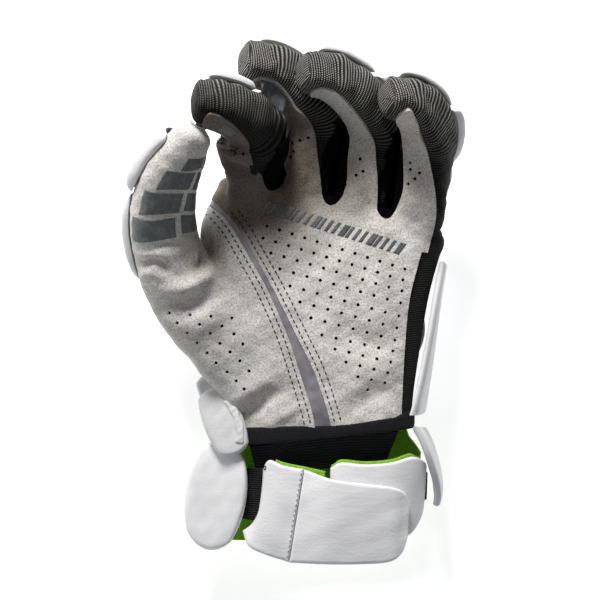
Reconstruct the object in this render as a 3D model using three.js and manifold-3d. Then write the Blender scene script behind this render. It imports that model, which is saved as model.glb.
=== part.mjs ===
// A lacrosse glove for the left hand, lying on its back with the palm up.
// Millimetres: +X runs to the little finger, +Y to the fingertips, +Z out of the palm.
// The origin is on the surface that the glove lies on, under the middle of its outline.
import * as THREE from "three";
import { mergeVertices } from "three/addons/utils/BufferGeometryUtils.js";
import Module from "manifold-3d";

const wasm = await Module();
wasm.setup();

// Driving dimensions
const wall = 2;              // suede, mesh and back cloth
const seam = 0.3;            // gap left between neighbouring pieces
const bandThick = 3.4;       // foam band of the wrist closure
const feltThick = 1.6;       // felt lining of the cuff
const elasticThick = 1.6;    // woven elastic straps
const hemWidth = 5;          // binding along the palm's wrist edge
const padSeat = 0.8;         // gap between a digit's sleeve and the foam on its back
const webDrop = 4;           // depth of the webs under the middle lines of the fingers
const webThick = 1.6;
const sideFoam = 4;          // foam at the sides of the cuff and hand
const padRim = 1.2;          // thickness of a digit's pad at its rim
const feltLip = 1.5;         // how far the felt stands out over the edge of a band
const wristReach = 12;       // how far the hand's hollow runs on past the wrist
const hemOverlap = 2;        // how much lower the hem is cut than the suede
const bodyPower = 3.2;       // squareness of the hand's section
const fingerPower = 3;       // squareness of a finger's section
const thumbPower = 2.3;      // squareness of the thumb's section
const frontRound = 8;        // rounding of the hand's front end between the fingers
const frontNarrowing = 0.55; // how much of an ellipse the rounded front follows
const frontShrink = 0.7;     // size of its last section
const tipLength = 6.5;       // rounded end of a fingertip
const cutFloor = 36;         // height from which the palm side is suede
const cutTop = 95;
const barRoof = 2;           // how far a cutting bar stands over a digit
const fingerSuede = 0.3;     // height of the suede's lower edge on a finger, in half depths
const thumbSuede = -0.15;    // the same on the thumb
const webStart = 0.9;        // row at which the webs between the fingers start
const keepOut = 0.04;        // margin round a pad, in rows and in radians

const finishes = {
  suede: { color: 0xa9a49a, roughness: 0.95 },
  mesh: { color: 0x34332f, roughness: 0.85 },
  white: { color: 0xe9e9ee, roughness: 0.55 },
  black: { color: 0x111215, roughness: 0.9 },
  felt: { color: 0x6fc21c, roughness: 0.95 },
  stripe: { color: 0x77777f, roughness: 0.6 },
};

// Names the columns of a short table
function table(names, rows) {
  return rows.map((row) => Object.fromEntries(names.map((name, i) => [name, row[i]])));
}

// The hand from wrist to knuckles: a row for each section across it.
// lean tilts a section's line, so that its little-finger side lies further on or back.
const hand = table(["y", "lean", "xLow", "xHigh", "zBack", "zPalm"], [
  [-70, 0.1, -27, 63, 18, 46],
  [-51, 0.06, -33, 64.5, 17, 47.5],
  [-30, 0.03, -38, 67.3, 17, 48.5],
  [2, 0, -42, 72.3, 17, 49.5],
  [26, -0.04, -49, 78, 17, 49.5],
  [36, -0.1, -49.5, 80.5, 17.5, 49],
  [44, -0.16, -45, 81, 18.5, 48.5],
  [50, -0.22, -40, 80, 20, 47.5],
]);

// Fingers and thumb: a row for each station along the middle line.
// n is the way that the palm side faces; the suede on it runs across from low to high.
const digitColumns = ["x", "y", "z", "nx", "ny", "nz", "halfWidth", "halfDepth", "low", "high"];
const fingers = {
  index: table(digitColumns, [
    [-25, 38, 34.5, 0, 0, 1, 12.6, 12, -3, 8],
    [-23, 58.5, 38, -0.1, -0.15, 0.98, 12.4, 12, -10.3, 6.5],
    [-20, 74, 48.5, -0.36, -0.42, 0.83, 13, 12, -10.5, 5],
    [-16.5, 90, 61.5, -0.45, -0.74, 0.5, 15.2, 12, -14.2, 0.8],
    [-28, 98.5, 72, -0.3, -0.81, 0.51, 12.2, 12, -10.5, 4],
    [-39, 102.5, 78.5, -0.15, -0.81, 0.56, 11, 11.5, -9, 5],
    [-46, 103.5, 80.5, -0.1, -0.82, 0.56, 10, 11, -8, 4.5],
  ]),
  middle: table(digitColumns, [
    [5, 38, 34.5, 0, 0, 1, 13.7, 12, -10, 10],
    [5.7, 61, 35.5, 0, -0.05, 1, 13.8, 12, -9.5, 9],
    [8, 80, 37.5, -0.1, -0.16, 0.98, 14, 12, -10, 6],
    [11.2, 97.5, 42.5, -0.36, -0.46, 0.81, 14.2, 12, -11, 3.5],
    [6, 112.5, 49, -0.5, -0.7, 0.5, 12, 11.5, -9, 4.5],
    [-8, 123, 57, -0.36, -0.78, 0.52, 11, 11.5, -8, 5],
    [-21.5, 126, 63.5, -0.21, -0.83, 0.52, 10, 11, -7, 5],
  ]),
  ring: table(digitColumns, [
    [34.5, 36, 34.5, 0, 0, 1, 14, 12, -9, 8.5],
    [35.8, 58, 35.5, 0.06, -0.05, 0.99, 14.2, 12, -9, 8],
    [38.5, 77, 37.5, -0.05, -0.16, 0.99, 14, 12, -9.5, 6],
    [42.7, 94, 43.5, -0.37, -0.48, 0.8, 14.2, 12, -10.5, 3.5],
    [36.5, 107, 55, -0.52, -0.72, 0.46, 12, 12, -9, 4.5],
    [22.5, 116.5, 66.5, -0.36, -0.78, 0.52, 11, 11.5, -8, 5],
    [9, 119, 74, -0.26, -0.82, 0.51, 10, 10.5, -7, 5],
  ]),
  little: table(digitColumns, [
    [63, 31, 33.5, 0, 0, 1, 13, 11, -10, 9],
    [67, 50, 37, 0, 0, 1, 13.8, 12.5, -10, 9],
    [70, 70, 42, -0.2, -0.1, 0.97, 13.8, 13, -9.5, 6.5],
    [71.5, 87, 50, -0.48, -0.21, 0.85, 13.5, 13, -9.5, 5],
    [67.5, 99, 60, -0.63, -0.37, 0.68, 12.5, 12.5, -8.5, 5],
    [59.5, 105, 68.5, -0.51, -0.55, 0.66, 11.5, 11.5, -8, 5.5],
    [52, 106, 73, -0.4, -0.62, 0.68, 10, 10.5, -7, 5.5],
  ]),
};
const thumb = table(digitColumns, [
  [-16, -46, 35, 0, 0, 1, 20, 12.5, -24, 24],
  [-37.5, -18, 37, 0, 0, 1, 21.5, 15, -25, 25],
  [-57, 6.5, 42, 0, 0, 1, 20.5, 15, -24, 24],
  [-67, 28.5, 49, 0.2, 0, 0.98, 17.5, 13.5, -21, 21],
  [-69, 46.5, 57, 0.29, -0.1, 0.95, 16.5, 13, -20, 20],
  [-65.5, 64.5, 66, 0.39, -0.29, 0.87, 15, 12.5, -18, 18],
  [-57.5, 79, 73, 0.47, -0.47, 0.75, 12.5, 11, -16, 16],
  [-53.5, 85.5, 76, 0.48, -0.57, 0.67, 10.5, 9.5, -14, 14],
]);

// The grey stripe that runs from the first web to the middle of the wrist
const stripeEdges = table(["y", "xLeft", "xRight"], [
  [-76, 13, 22],
  [-67, 11.5, 20],
  [-56.5, 9.5, 17.5],
  [-36, 3, 10.5],
  [-16.5, -3.5, 1],
  [7.5, -14, -11],
  [24.5, -23.5, -20.5],
  [43.5, -35, -32],
  [58, -49.5, -46.5],
]);

// The palm's wrist edge, and how the palm's suede ends between the fingers
const hemLine = table(["x", "y"], [
  [-60, -67.5],
  [-26, -67],
  [-2, -66],
  [24.5, -65.5],
  [48.5, -62],
  [70, -56],
]);
const palmFront = table(["x", "y"], [
  [71.5, 60.5],
  [58, 52],
  [50, 44],
  [42, 58],
  [34, 66],
  [26, 57],
  [19, 52],
  [15, 57],
  [3, 66],
  [-7.5, 61],
  [-13, 58],
  [-17, 63],
  [-34, 80],
  [-48, 80],
]);
const palmRight = table(["x", "y"], [
  [57.5, -76],
  [57.5, -59],
  [59, -24.5],
  [61.5, 2],
  [66, 20.5],
  [69, 31],
  [71, 39],
]);
const thenarLeft = table(["x", "y"], [
  [-52, 58],
  [-52, 20],
  [-90, 0],
  [-90, -76],
]);

// A closed solid from points and triangles, turned inside out if need be
function solid(points, triangles) {
  const vertProperties = new Float32Array(points.flatMap((p) => [p.x, p.y, p.z]));
  let volume = 0;
  for (const [a, b, c] of triangles) {
    volume += points[a].dot(new THREE.Vector3().crossVectors(points[b], points[c]));
  }
  const order = volume > 0 ? (t) => t : ([a, b, c]) => [a, c, b];
  const triVerts = new Uint32Array(triangles.flatMap(order));
  return new wasm.Manifold(new wasm.Mesh({ numProp: 3, vertProperties, triVerts }));
}

// Rings of equally many points, joined in turn; an end ring may be one point, or is capped flat
function loft(rings) {
  const sides = rings[1].length;
  const starts = [];
  let count = 0;
  for (const ring of rings) {
    starts.push(count);
    count += ring.length;
  }
  const at = (r, s) => starts[r] + (rings[r].length === 1 ? 0 : s % sides);
  const triangles = [];
  for (let r = 0; r + 1 < rings.length; r++) {
    for (let s = 0; s < sides; s++) {
      const quad = [at(r, s), at(r, s + 1), at(r + 1, s + 1), at(r + 1, s)];
      if (quad[0] !== quad[1]) triangles.push([quad[0], quad[1], quad[2]]);
      if (quad[2] !== quad[3]) triangles.push([quad[0], quad[2], quad[3]]);
    }
  }
  const last = rings.length - 1;
  for (let s = 1; s + 1 < sides; s++) {
    if (rings[0].length > 1) triangles.push([at(0, 0), at(0, s + 1), at(0, s)]);
    if (rings[last].length > 1) triangles.push([at(last, 0), at(last, s), at(last, s + 1)]);
  }
  return solid(rings.flat(), triangles);
}

// A slab between two grids of points over the same square, each point a function of u and v from 0 to 1
function slab(acrossSteps, alongSteps, topAt, bottomAt) {
  const points = [];
  const wide = acrossSteps + 1;
  for (const at of [topAt, bottomAt]) {
    for (let j = 0; j <= alongSteps; j++) {
      for (let i = 0; i <= acrossSteps; i++) points.push(at(i / acrossSteps, j / alongSteps));
    }
  }
  const under = wide * (alongSteps + 1);
  const triangles = [];
  const quad = (a, b, c, d) => triangles.push([a, b, c], [a, c, d]);
  for (let j = 0; j < alongSteps; j++) {
    for (let i = 0; i < acrossSteps; i++) {
      const a = j * wide + i;
      quad(a, a + 1, a + wide + 1, a + wide);
      quad(a + under + wide, a + under + wide + 1, a + under + 1, a + under);
    }
  }
  const rim = [];
  for (let i = 0; i < acrossSteps; i++) rim.push(i);
  for (let j = 0; j < alongSteps; j++) rim.push(j * wide + acrossSteps);
  for (let i = acrossSteps; i > 0; i--) rim.push(alongSteps * wide + i);
  for (let j = alongSteps; j > 0; j--) rim.push(j * wide);
  rim.forEach((a, k) => {
    const b = rim[(k + 1) % rim.length];
    quad(b, a, a + under, b + under);
  });
  return solid(points, triangles);
}

// The row at a place counted in rows, such as 2.5 for halfway from the third to the fourth,
// where each column runs on a Catmull-Rom curve through the rows
function rowAt(rows, place) {
  const names = Object.keys(rows[0]);
  const mix = (p, q, f) => Object.fromEntries(names.map((n) => [n, p[n] + (q[n] - p[n]) * f]));
  const i = Math.min(Math.floor(place), rows.length - 2);
  const f = place - i;
  const [b, c] = [rows[i], rows[i + 1]];
  const a = rows[i - 1] ?? mix(c, b, 2);
  const d = rows[i + 2] ?? mix(b, c, 2);
  const curve = (n) => {
    const bend = (c[n] - a[n]) * f + (2 * a[n] - 5 * b[n] + 4 * c[n] - d[n]) * f ** 2;
    return b[n] + 0.5 * (bend + (3 * b[n] - a[n] - 3 * c[n] + d[n]) * f ** 3);
  };
  return Object.fromEntries(names.map((n) => [n, curve(n)]));
}

function between(rows, steps) {
  const count = (rows.length - 1) * steps;
  return Array.from({ length: count + 1 }, (_, i) => rowAt(rows, i / steps));
}

// Adds each station's middle, its way forward, its palm side and its little-finger side
function framed(rows) {
  const middle = (row) => new THREE.Vector3(row.x, row.y, row.z);
  return rows.map((row, i) => {
    const ahead = middle(rows[Math.min(i + 1, rows.length - 1)]);
    const forward = ahead.sub(middle(rows[Math.max(i - 1, 0)])).normalize();
    const palm = new THREE.Vector3(row.nx, row.ny, row.nz);
    palm.addScaledVector(forward, -palm.dot(forward)).normalize();
    const side = new THREE.Vector3().crossVectors(forward, palm);
    return { ...row, middle: middle(row), forward, palm, side };
  });
}

// The framed station at a place counted in rows
function stationAt(rows, spot) {
  const step = 0.05;
  return framed([spot - step, spot, spot + step].map((t) => rowAt(rows, t)))[1];
}

function place(station, across, up, ahead = 0) {
  const p = station.middle.clone().addScaledVector(station.side, across);
  return p.addScaledVector(station.palm, up).addScaledVector(station.forward, ahead);
}

// The point of a superellipse at an angle, for half sizes of 1
function roundedSquare(angle, power) {
  const bend = (v) => Math.sign(v) * Math.abs(v) ** (2 / power);
  return [bend(Math.cos(angle)), bend(Math.sin(angle))];
}

function ringAngles(sides) {
  return Array.from({ length: sides }, (_, s) => (2 * Math.PI * (s + 0.5)) / sides);
}

// A finger or thumb: superellipse sections along the stations and a rounded tip
function digit(rows, power, grow, sides, steps) {
  const stations = framed(between(rows, steps));
  const section = (station, shrink, ahead) =>
    ringAngles(sides).map((angle) => {
      const [across, up] = roundedSquare(angle, power);
      const wide = (station.halfWidth + grow) * shrink;
      return place(station, across * wide, up * (station.halfDepth + grow) * shrink, ahead);
    });
  const rings = stations.map((station) => section(station, 1, 0));
  const last = stations.at(-1);
  const reach = tipLength + grow;
  for (const t of [0.55, 0.85]) {
    rings.push(section(last, (1 - t ** power) ** (1 / power), reach * t));
  }
  rings.push([place(last, 0, 0, reach)]);
  return loft(rings);
}

// The hand: superellipse sections from wrist to knuckles and a rounded front end.
// The wrist end of a hollow reaches further, to leave the hand open there.
function handSolid(grow, reach, sides) {
  const leanAt = (row, x) => row.y + row.lean * (x - 20);
  const section = (row, shrink, ahead) =>
    ringAngles(sides).map((angle) => {
      const [across, up] = roundedSquare(angle, bodyPower);
      const wide = ((row.xHigh - row.xLow) / 2 + grow) * shrink;
      const tall = ((row.zPalm - row.zBack) / 2 + grow) * shrink;
      const x = (row.xHigh + row.xLow) / 2 + across * wide;
      const z = (row.zPalm + row.zBack) / 2 + up * tall;
      return new THREE.Vector3(x, leanAt(row, x) + ahead, z);
    });
  const rings = between(hand, 1).map((row) => section(row, 1, 0));
  if (reach > 0) rings.unshift(section(hand[0], 1, -reach));
  const front = hand.at(-1);
  for (const t of [0.5, 0.85]) {
    rings.push(section(front, Math.sqrt(1 - (t * frontNarrowing) ** 2), (frontRound + grow) * t));
  }
  rings.push(section(front, frontShrink, frontRound + grow));
  return loft(rings);
}

// A tall prism over a plan outline, to cut the palm side from the back
function prism(outline, low, high) {
  const shape = new THREE.Shape(outline.map((p) => new THREE.Vector2(p.x, p.y)));
  const raised = new THREE.ExtrudeGeometry(shape, { depth: high - low, bevelEnabled: false });
  raised.deleteAttribute("normal");
  raised.deleteAttribute("uv");
  const merged = mergeVertices(raised.translate(0, 0, low));
  const vertProperties = merged.attributes.position.array;
  const triVerts = new Uint32Array(merged.index.array);
  return new wasm.Manifold(new wasm.Mesh({ numProp: 3, vertProperties, triVerts }));
}

// An outline moved outwards by a distance, corner by corner
function widened(outline, distance) {
  const turn = outline.reduce((sum, p, i) => {
    const q = outline[(i + 1) % outline.length];
    return sum + p.x * q.y - q.x * p.y;
  }, 0);
  const away = distance * Math.sign(turn);
  return outline.map((p, i) => {
    const before = outline.at(i - 1);
    const after = outline[(i + 1) % outline.length];
    const one = new THREE.Vector2(p.y - before.y, before.x - p.x).normalize();
    const two = new THREE.Vector2(after.y - p.y, p.x - after.x).normalize();
    const miter = one.clone().add(two).divideScalar(1 + one.dot(two));
    return { x: p.x + miter.x * away, y: p.y + miter.y * away };
  });
}

// A bar along a digit's palm side, over its suede, from one row to another and a reach ahead
function palmBar(rows, first, last, depth, grow, reach) {
  const stations = framed(rows).slice(first, last + 1);
  const section = (station, ahead) => {
    const floor = station.halfDepth * depth - grow;
    const roof = station.halfDepth + barRoof;
    const [low, high] = [station.low - grow, station.high + grow];
    return [[high, floor], [high, roof], [low, roof], [low, floor]].map(([across, up]) =>
      place(station, across, up, ahead));
  };
  const rings = stations.map((station) => section(station, 0));
  rings[rings.length - 1] = section(stations.at(-1), reach + grow);
  return loft(rings);
}

// A sheet between two depths under the points of a surface, measured square to it
function sheet(acrossSteps, alongSteps, pointAt, nearDepth, farDepth) {
  const step = 0.01;
  const under = (depth) => (u, v) => {
    const low = (t) => Math.max(t - step, 0);
    const high = (t) => Math.min(t + step, 1);
    const across = pointAt(high(u), v).sub(pointAt(low(u), v));
    const along = pointAt(u, high(v)).sub(pointAt(u, low(v)));
    return pointAt(u, v).addScaledVector(along.cross(across).normalize(), -depth);
  };
  return slab(acrossSteps, alongSteps, under(nearDepth), under(farDepth));
}

// A sheet between the two edges that a table's rows give, bowed up along its middle.
// Its first edge is moved on by shift, towards the other, and by minus shift it stands proud.
function banded(rows, nearDepth, farDepth, shift = 0, steps = 2) {
  const pointAt = (u, v) => {
    const row = rowAt(rows, u * (rows.length - 1));
    const top = new THREE.Vector3(row.topX, row.topY, row.topZ);
    const low = new THREE.Vector3(row.lowX, row.lowY, row.lowZ);
    const start = shift / top.distanceTo(low);
    const point = top.lerp(low, start + v * (1 - start));
    point.z += row.bow * 4 * v * (1 - v);
    return point;
  };
  return sheet((rows.length - 1) * steps, 2, pointAt, nearDepth, farDepth);
}

// How full a pad is over its square, from 0 at the rim to 1 over its flat middle
function fullness(u, v, sharp) {
  const ends = (t) => 1 - Math.abs(2 * t - 1) ** 4;
  return Math.min(1, sharp * Math.cbrt(ends(u) * ends(v)));
}

// A pad with a rounded outline on a tilted plane, swelling up and down from its rim
function pillow(pad, acrossSteps, alongSteps) {
  const turn = THREE.MathUtils.degToRad(pad.turn);
  const pointAt = (u, v, way) => {
    const [a, b] = [2 * u - 1, 2 * v - 1];
    const across = pad.halfX * a * Math.sqrt(1 - (pad.corner * b * b) / 2);
    const along = pad.halfY * b * Math.sqrt(1 - (pad.corner * a * a) / 2);
    const dx = across * Math.cos(turn) - along * Math.sin(turn);
    const dy = across * Math.sin(turn) + along * Math.cos(turn);
    const swell = (way > 0 ? pad.up : pad.down) * fullness(u, v, pad.sharp);
    const z = pad.z + pad.tiltX * dx + pad.tiltY * dy + way * (pad.rim / 2 + swell);
    return new THREE.Vector3(pad.x + dx, pad.y + dy, z);
  };
  return slab(acrossSteps, alongSteps, (u, v) => pointAt(u, v, 1), (u, v) => pointAt(u, v, -1));
}

// A foam pad that hugs the back of a digit from one row to another
function digitPad(rows, power, pad) {
  const pointAt = (u, v, outer) => {
    const station = stationAt(rows, pad.first + (pad.last - pad.first) * v);
    const narrowing = Math.sqrt(1 - 0.3 * (2 * v - 1) ** 4);
    const angle = 1.5 * Math.PI - pad.turn + (2 * u - 1) * pad.spread * narrowing;
    const [across, up] = roundedSquare(angle, power);
    const grow = padSeat + outer * (padRim + (pad.thick - padRim) * fullness(u, v, 1));
    return place(station, across * (station.halfWidth + grow), up * (station.halfDepth + grow));
  };
  return slab(4, 3, (u, v) => pointAt(u, v, 1), (u, v) => pointAt(u, v, 0));
}

// A web of cloth between the middles of two neighbouring digits, set down a little from them
function web(one, other, first, last) {
  const pointAt = (u, v) => {
    const [start, end] = [one, other].map((rows) => stationAt(rows, first + (last - first) * v));
    return place(start, 0, -webDrop).lerp(place(end, 0, -webDrop), u);
  };
  return sheet(2, 4, pointAt, 0, webThick);
}

const join = (solids) => solids.reduce((sum, one) => sum.add(one));
const cutAll = (from, solids) => solids.reduce((rest, one) => rest.subtract(one), from);

const group = new THREE.Group();

function addPiece(name, piece, finish) {
  const mesh = piece.getMesh();
  const geometry = new THREE.BufferGeometry();
  geometry.setAttribute("position", new THREE.BufferAttribute(mesh.vertProperties, 3));
  geometry.setIndex(new THREE.BufferAttribute(mesh.triVerts, 1));
  geometry.computeVertexNormals();
  const node = new THREE.Mesh(geometry, new THREE.MeshStandardMaterial({ ...finish, metalness: 0 }));
  node.name = name;
  group.add(node);
}

// Outer forms, hollows and the gap kept round the hand
const fingerNames = Object.keys(fingers);
const fingerOuter = fingerNames.map((name) => digit(fingers[name], fingerPower, 0, 10, 2));
const fingerHollow = fingerNames.map((name) => digit(fingers[name], fingerPower, -wall, 8, 1));
const thumbOuter = digit(thumb, thumbPower, 0, 12, 1);
const thumbHollow = digit(thumb, thumbPower, -wall, 10, 1);
const handOuter = handSolid(0, 0, 16);
const handHollow = handSolid(-wall, wristReach, 12);
const handClear = handSolid(seam, 0, 16);
const hollows = [handHollow, thumbHollow, ...fingerHollow];
const shell = cutAll(join([handOuter, thumbOuter, ...fingerOuter]), hollows);
const thumbShell = cutAll(join([handOuter, thumbOuter]), hollows);
const fingerClear = fingerNames.map((name) => digit(fingers[name], fingerPower, seam, 10, 2));
const thumbClear = digit(thumb, thumbPower, seam, 12, 1);

// Cutting forms of the palm side
const hemBelow = (drop) => hemLine.map((p) => ({ x: p.x, y: p.y + drop }));
const hemBand = (grow) => [...hemBelow(grow), ...hemBelow(-3 * hemWidth).reverse()];
const stripeSide = (column, shift) => stripeEdges.map((row) => ({ x: row[column] + shift, y: row.y }));
const half = seam / 2;
const stripeOutline = [...stripeSide("xLeft", half), ...stripeSide("xRight", -half).reverse()];
const palmOutline = [...palmRight, ...palmFront, ...stripeSide("xRight", half).reverse()];
const thenarOutline = [...stripeSide("xLeft", -half).slice(0, -1), ...thenarLeft];
const fingerBars = (grow) => fingerNames.map((name) => palmBar(fingers[name], 0, 6, fingerSuede, grow, 0));
const thumbBar = (grow) => palmBar(thumb, 1, 7, thumbSuede, grow, tipLength + barRoof);
const palmCut = (grow) => join([
  prism(widened(palmOutline, grow), cutFloor - grow, cutTop),
  ...fingerBars(grow),
]);
const thenarCut = (grow) => join([
  prism(widened(thenarOutline, grow), cutFloor - grow, cutTop),
  thumbBar(grow),
]);
const stripeCut = (grow) => prism(widened(stripeOutline, grow), cutFloor - grow, cutTop);
const hemCut = (grow) => prism(hemBand(grow), cutFloor - hemOverlap - grow, cutTop);

// Suede palm, thumb front, stripe and hem
const besideStripe = [hemCut(seam), stripeCut(seam)];
const palmPanel = cutAll(shell.intersect(palmCut(0)), [...besideStripe, thenarCut(seam)]);
const thenarPanel = cutAll(thumbShell.intersect(thenarCut(0)), besideStripe);
addPiece("palm_panel", palmPanel, finishes.suede);
addPiece("thenar_panel", thenarPanel, finishes.suede);
addPiece("palm_stripe", cutAll(shell.intersect(stripeCut(0)), [hemCut(seam)]), finishes.stripe);
addPiece("hem_binding", shell.intersect(hemCut(0)), finishes.black);

// Mesh sleeves of the digits and the back of the hand
const suedeCuts = [palmCut(seam), thenarCut(seam), stripeCut(seam), hemCut(seam)];
fingerNames.forEach((name, i) => {
  const tube = cutAll(fingerOuter[i], [fingerHollow[i], handClear, palmCut(seam)]);
  addPiece(name + "_sleeve", tube, finishes.mesh);
});
const thumbTube = cutAll(thumbOuter, [thumbHollow, handClear, thenarCut(seam)]);
addPiece("thumb_sleeve", thumbTube, finishes.mesh);
addPiece("hand_back", cutAll(handOuter, [...hollows, ...suedeCuts]), finishes.mesh);

// Foam on the back of the digits: the rows between which each pad lies, how far round it reaches
// from the middle of the back, in radians, and how far it is turned from there
const digitPads = table(["digit", "part", "first", "last", "spread", "thick", "turn"], [
  ["index", "base", 1.75, 2.5, 0.8, 6.5, 0.35],
  ["index", "middle", 2.6, 4.1, 0.8, 5, 0.35],
  ["index", "tip", 4.25, 5.75, 0.7, 3.6, 0.35],
  ["middle", "base", 1.3, 2.5, 0.8, 6.5, 0.35],
  ["middle", "middle", 2.6, 4.1, 0.8, 5, 0.35],
  ["middle", "tip", 4.25, 5.75, 0.7, 3.6, 0.35],
  ["ring", "base", 1.15, 2.5, 0.8, 6.5, 0.12],
  ["ring", "middle", 2.6, 4.1, 0.8, 5, 0.12],
  ["ring", "tip", 4.25, 5.75, 0.7, 3.6, 0.12],
  ["little", "base", 1, 2.5, 0.8, 6.5, 0.05],
  ["little", "middle", 2.6, 4.1, 0.8, 5, 0.05],
  ["little", "tip", 4.25, 5.75, 0.7, 3.6, 0.05],
  ["thumb", "base", 2.6, 4.4, 1.1, 6.5, 0],
  ["thumb", "tip", 4.55, 6.6, 1.1, 5.5, 0],
]);
const padKeepOut = (pad) => ({
  ...pad,
  first: pad.first - keepOut,
  last: pad.last + keepOut,
  spread: pad.spread + keepOut,
  thick: pad.thick + seam,
});
const padClear = [];
for (const pad of digitPads) {
  const onThumb = pad.digit === "thumb";
  const [rows, power] = onThumb ? [thumb, thumbPower] : [fingers[pad.digit], fingerPower];
  const beside = onThumb ? [thumbClear] : fingerClear.filter((_, k) => fingerNames[k] !== pad.digit);
  if (!onThumb) padClear.push(digitPad(rows, power, padKeepOut(pad)));
  addPiece(`${pad.digit}_pad_${pad.part}`, cutAll(digitPad(rows, power, pad), beside), finishes.white);
}

// Dark webs that close the gaps between the fingers
const webEnds = { index: 2.6, middle: 2.9, ring: 2.9 };
for (const [name, last] of Object.entries(webEnds)) {
  const next = fingerNames[fingerNames.indexOf(name) + 1];
  const cloth = web(fingers[name], fingers[next], webStart, last);
  addPiece("web_gusset_" + name, cutAll(cloth, [handClear, ...fingerClear, ...padClear]), finishes.mesh);
}

// Foam on the back of the hand, flat where the glove lies on it
const backPads = table(["name", "x", "y", "z", "halfX", "halfY", "turn"], [
  ["knuckle_pad_index", -24, 51, 19.6, 14, 9, -8],
  ["knuckle_pad_middle", 6, 46, 18.6, 14, 9, -9],
  ["knuckle_pad_ring", 36, 40, 18, 14, 9, -10],
  ["knuckle_pad_little", 64, 34, 18, 12, 8.5, -12],
  ["back_pad_index_side", -11, 26, 15.7, 30, 12.5, -8],
  ["back_pad_little_side", 48, 13, 15.7, 27, 10.5, -8],
  ["back_pad_thumb_side", -8, -4, 15.7, 30, 14, -4],
  ["back_pad_outer_side", 47, -13.5, 15.7, 25, 12, -4],
  ["back_pad_wrist", 17, -44, 15.7, 48, 14, 2],
]);
const flatUnder = { corner: 0.35, tiltX: 0, tiltY: 0, up: 0.2, rim: 1.6, sharp: 1.5 };
for (const pad of backPads) {
  const foam = pillow({ ...flatUnder, ...pad, down: pad.z - flatUnder.rim / 2 }, 4, 4);
  addPiece(pad.name, cutAll(foam, [handClear]), finishes.white);
}

// Foam along the outer edge of the hand
const edgeColumns = ["topX", "topY", "topZ", "lowX", "lowY", "lowZ", "bow"];
const outerEdge = table(edgeColumns, [
  [77.5, 23, 40, 80.5, 22, 14, 4],
  [74, 6, 43, 78, 6, 12, 6],
  [70.8, -12, 45, 75.6, -12, 12, 7],
  [67, -32, 46, 73, -32, 12, 7],
  [63, -50, 46, 70.2, -50, 13, 7],
  [61, -59, 45, 68.5, -60, 15, 7],
]);

// Cuff: the felt lining at its back, the pads, the bands over the wrist and the elastic straps
const cuffPadBack = { ...flatUnder, x: 12, y: -98, halfX: 50, halfY: 35, turn: 0, corner: 0.25,
  z: 14.7, down: 13.9 };
addPiece("cuff_pad_back", pillow(cuffPadBack, 4, 4), finishes.white);

const backFelt = table(edgeColumns, [
  [-57, -84, 22, -57, -126, 22, 0],
  [-51, -72, 18.6, -51, -130, 18.6, 0],
  [-38, -66, 17.6, -38, -131, 17.6, 0],
  [14, -64, 17.6, 14, -131, 17.6, 0],
  [60, -64, 17.6, 60, -131, 17.6, 0],
  [65.5, -74, 19, 65.5, -126, 19, 0],
  [69, -82, 24, 69, -116, 24, 0],
]);
const leftBand = table(edgeColumns, [
  [-17, -87.5, 45, -28, -121, 43, 0],
  [-13.5, -83, 48, -24.5, -129, 47, 0.5],
  [-6, -85.5, 50.5, -15, -133.5, 50, 1],
  [4.7, -87.5, 52, -3.3, -137, 52, 1],
]);
const leftFelt = table(edgeColumns, [
  [-11, -84, 49, -22, -130, 48.5, 0.5],
  [-6, -85.5, 50.5, -15, -133.5, 50, 1],
  [4.7, -87.5, 52, -3.3, -137, 52, 1],
  [16.5, -90, 52.6, 11, -136.5, 52.5, 1],
]);
const rightBand = table(edgeColumns, [
  [19, -87, 51, 18, -128, 51, 0.5],
  [25, -84, 52, 26, -128, 52, 0.5],
  [38, -85, 52.2, 39, -127, 52.2, 0.5],
  [52, -84, 51, 52, -126, 51, 0.5],
  [63.5, -81.5, 47.5, 62.5, -123, 46.5, 0],
  [70, -84, 40, 68, -116, 40, 0],
  [71.8, -88, 32, 70.3, -110, 32, 0],
]);
const closureTab = table(edgeColumns, [
  [5.2, -87.6, 52.2, -2.8, -137.2, 52.2, 1],
  [20.5, -92.5, 56.2, 15, -137.5, 56.2, 1],
  [38, -95, 56.4, 34, -137.5, 56.4, 0.5],
  [52, -96.8, 55.2, 50, -136.5, 55.2, 0.5],
  [59, -100, 53, 57, -132.5, 53, 0],
  [61.5, -107, 52, 60.5, -123, 52, 0],
]);
const ulnarPad = table(edgeColumns, [
  [62.5, -66, 45, 68.5, -69, 20, 4],
  [66, -73, 44.5, 72, -75, 18, 4],
  [69.2, -81.2, 43, 75.2, -84, 16, 4],
  [73, -92, 39, 77.6, -94, 14, 3],
  [75.4, -102, 33, 78.2, -103, 13, 2],
  [75, -109.5, 28, 76.7, -110, 14, 1],
]);
const leftElastic = table(edgeColumns, [
  [-34, -88, 35.6, -35, -115, 34.6, 0],
  [-28, -88, 39.3, -31, -115, 37.6, 0],
  [-20, -88, 41.6, -27, -115, 39.8, 0],
  [-14.5, -88.5, 42.6, -24, -115, 40.6, 0],
]);
const rightElastic = table(edgeColumns, [
  [72.3, -92, 27.5, 71.3, -107, 27.5, 0],
  [73, -92, 22, 72.6, -107, 22, 0],
]);
const wristKnit = table(edgeColumns, [
  [-24, -76, 41.5, -20, -92, 37.5, 0],
  [-12, -74.8, 42.8, -10, -91, 37.5, 0],
  [0, -71.2, 43.1, 0, -90, 37.5, 0],
  [30, -68.2, 43.1, 28, -88, 37.5, 0],
  [56, -68.2, 41, 50, -84, 37.5, 0],
]);
const lining = (rows) => banded(rows, bandThick + 2 * seam, bandThick + feltThick, -feltLip, 1);
addPiece("outer_edge_pad", cutAll(banded(outerEdge, 0, sideFoam), [handClear]), finishes.white);
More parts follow.
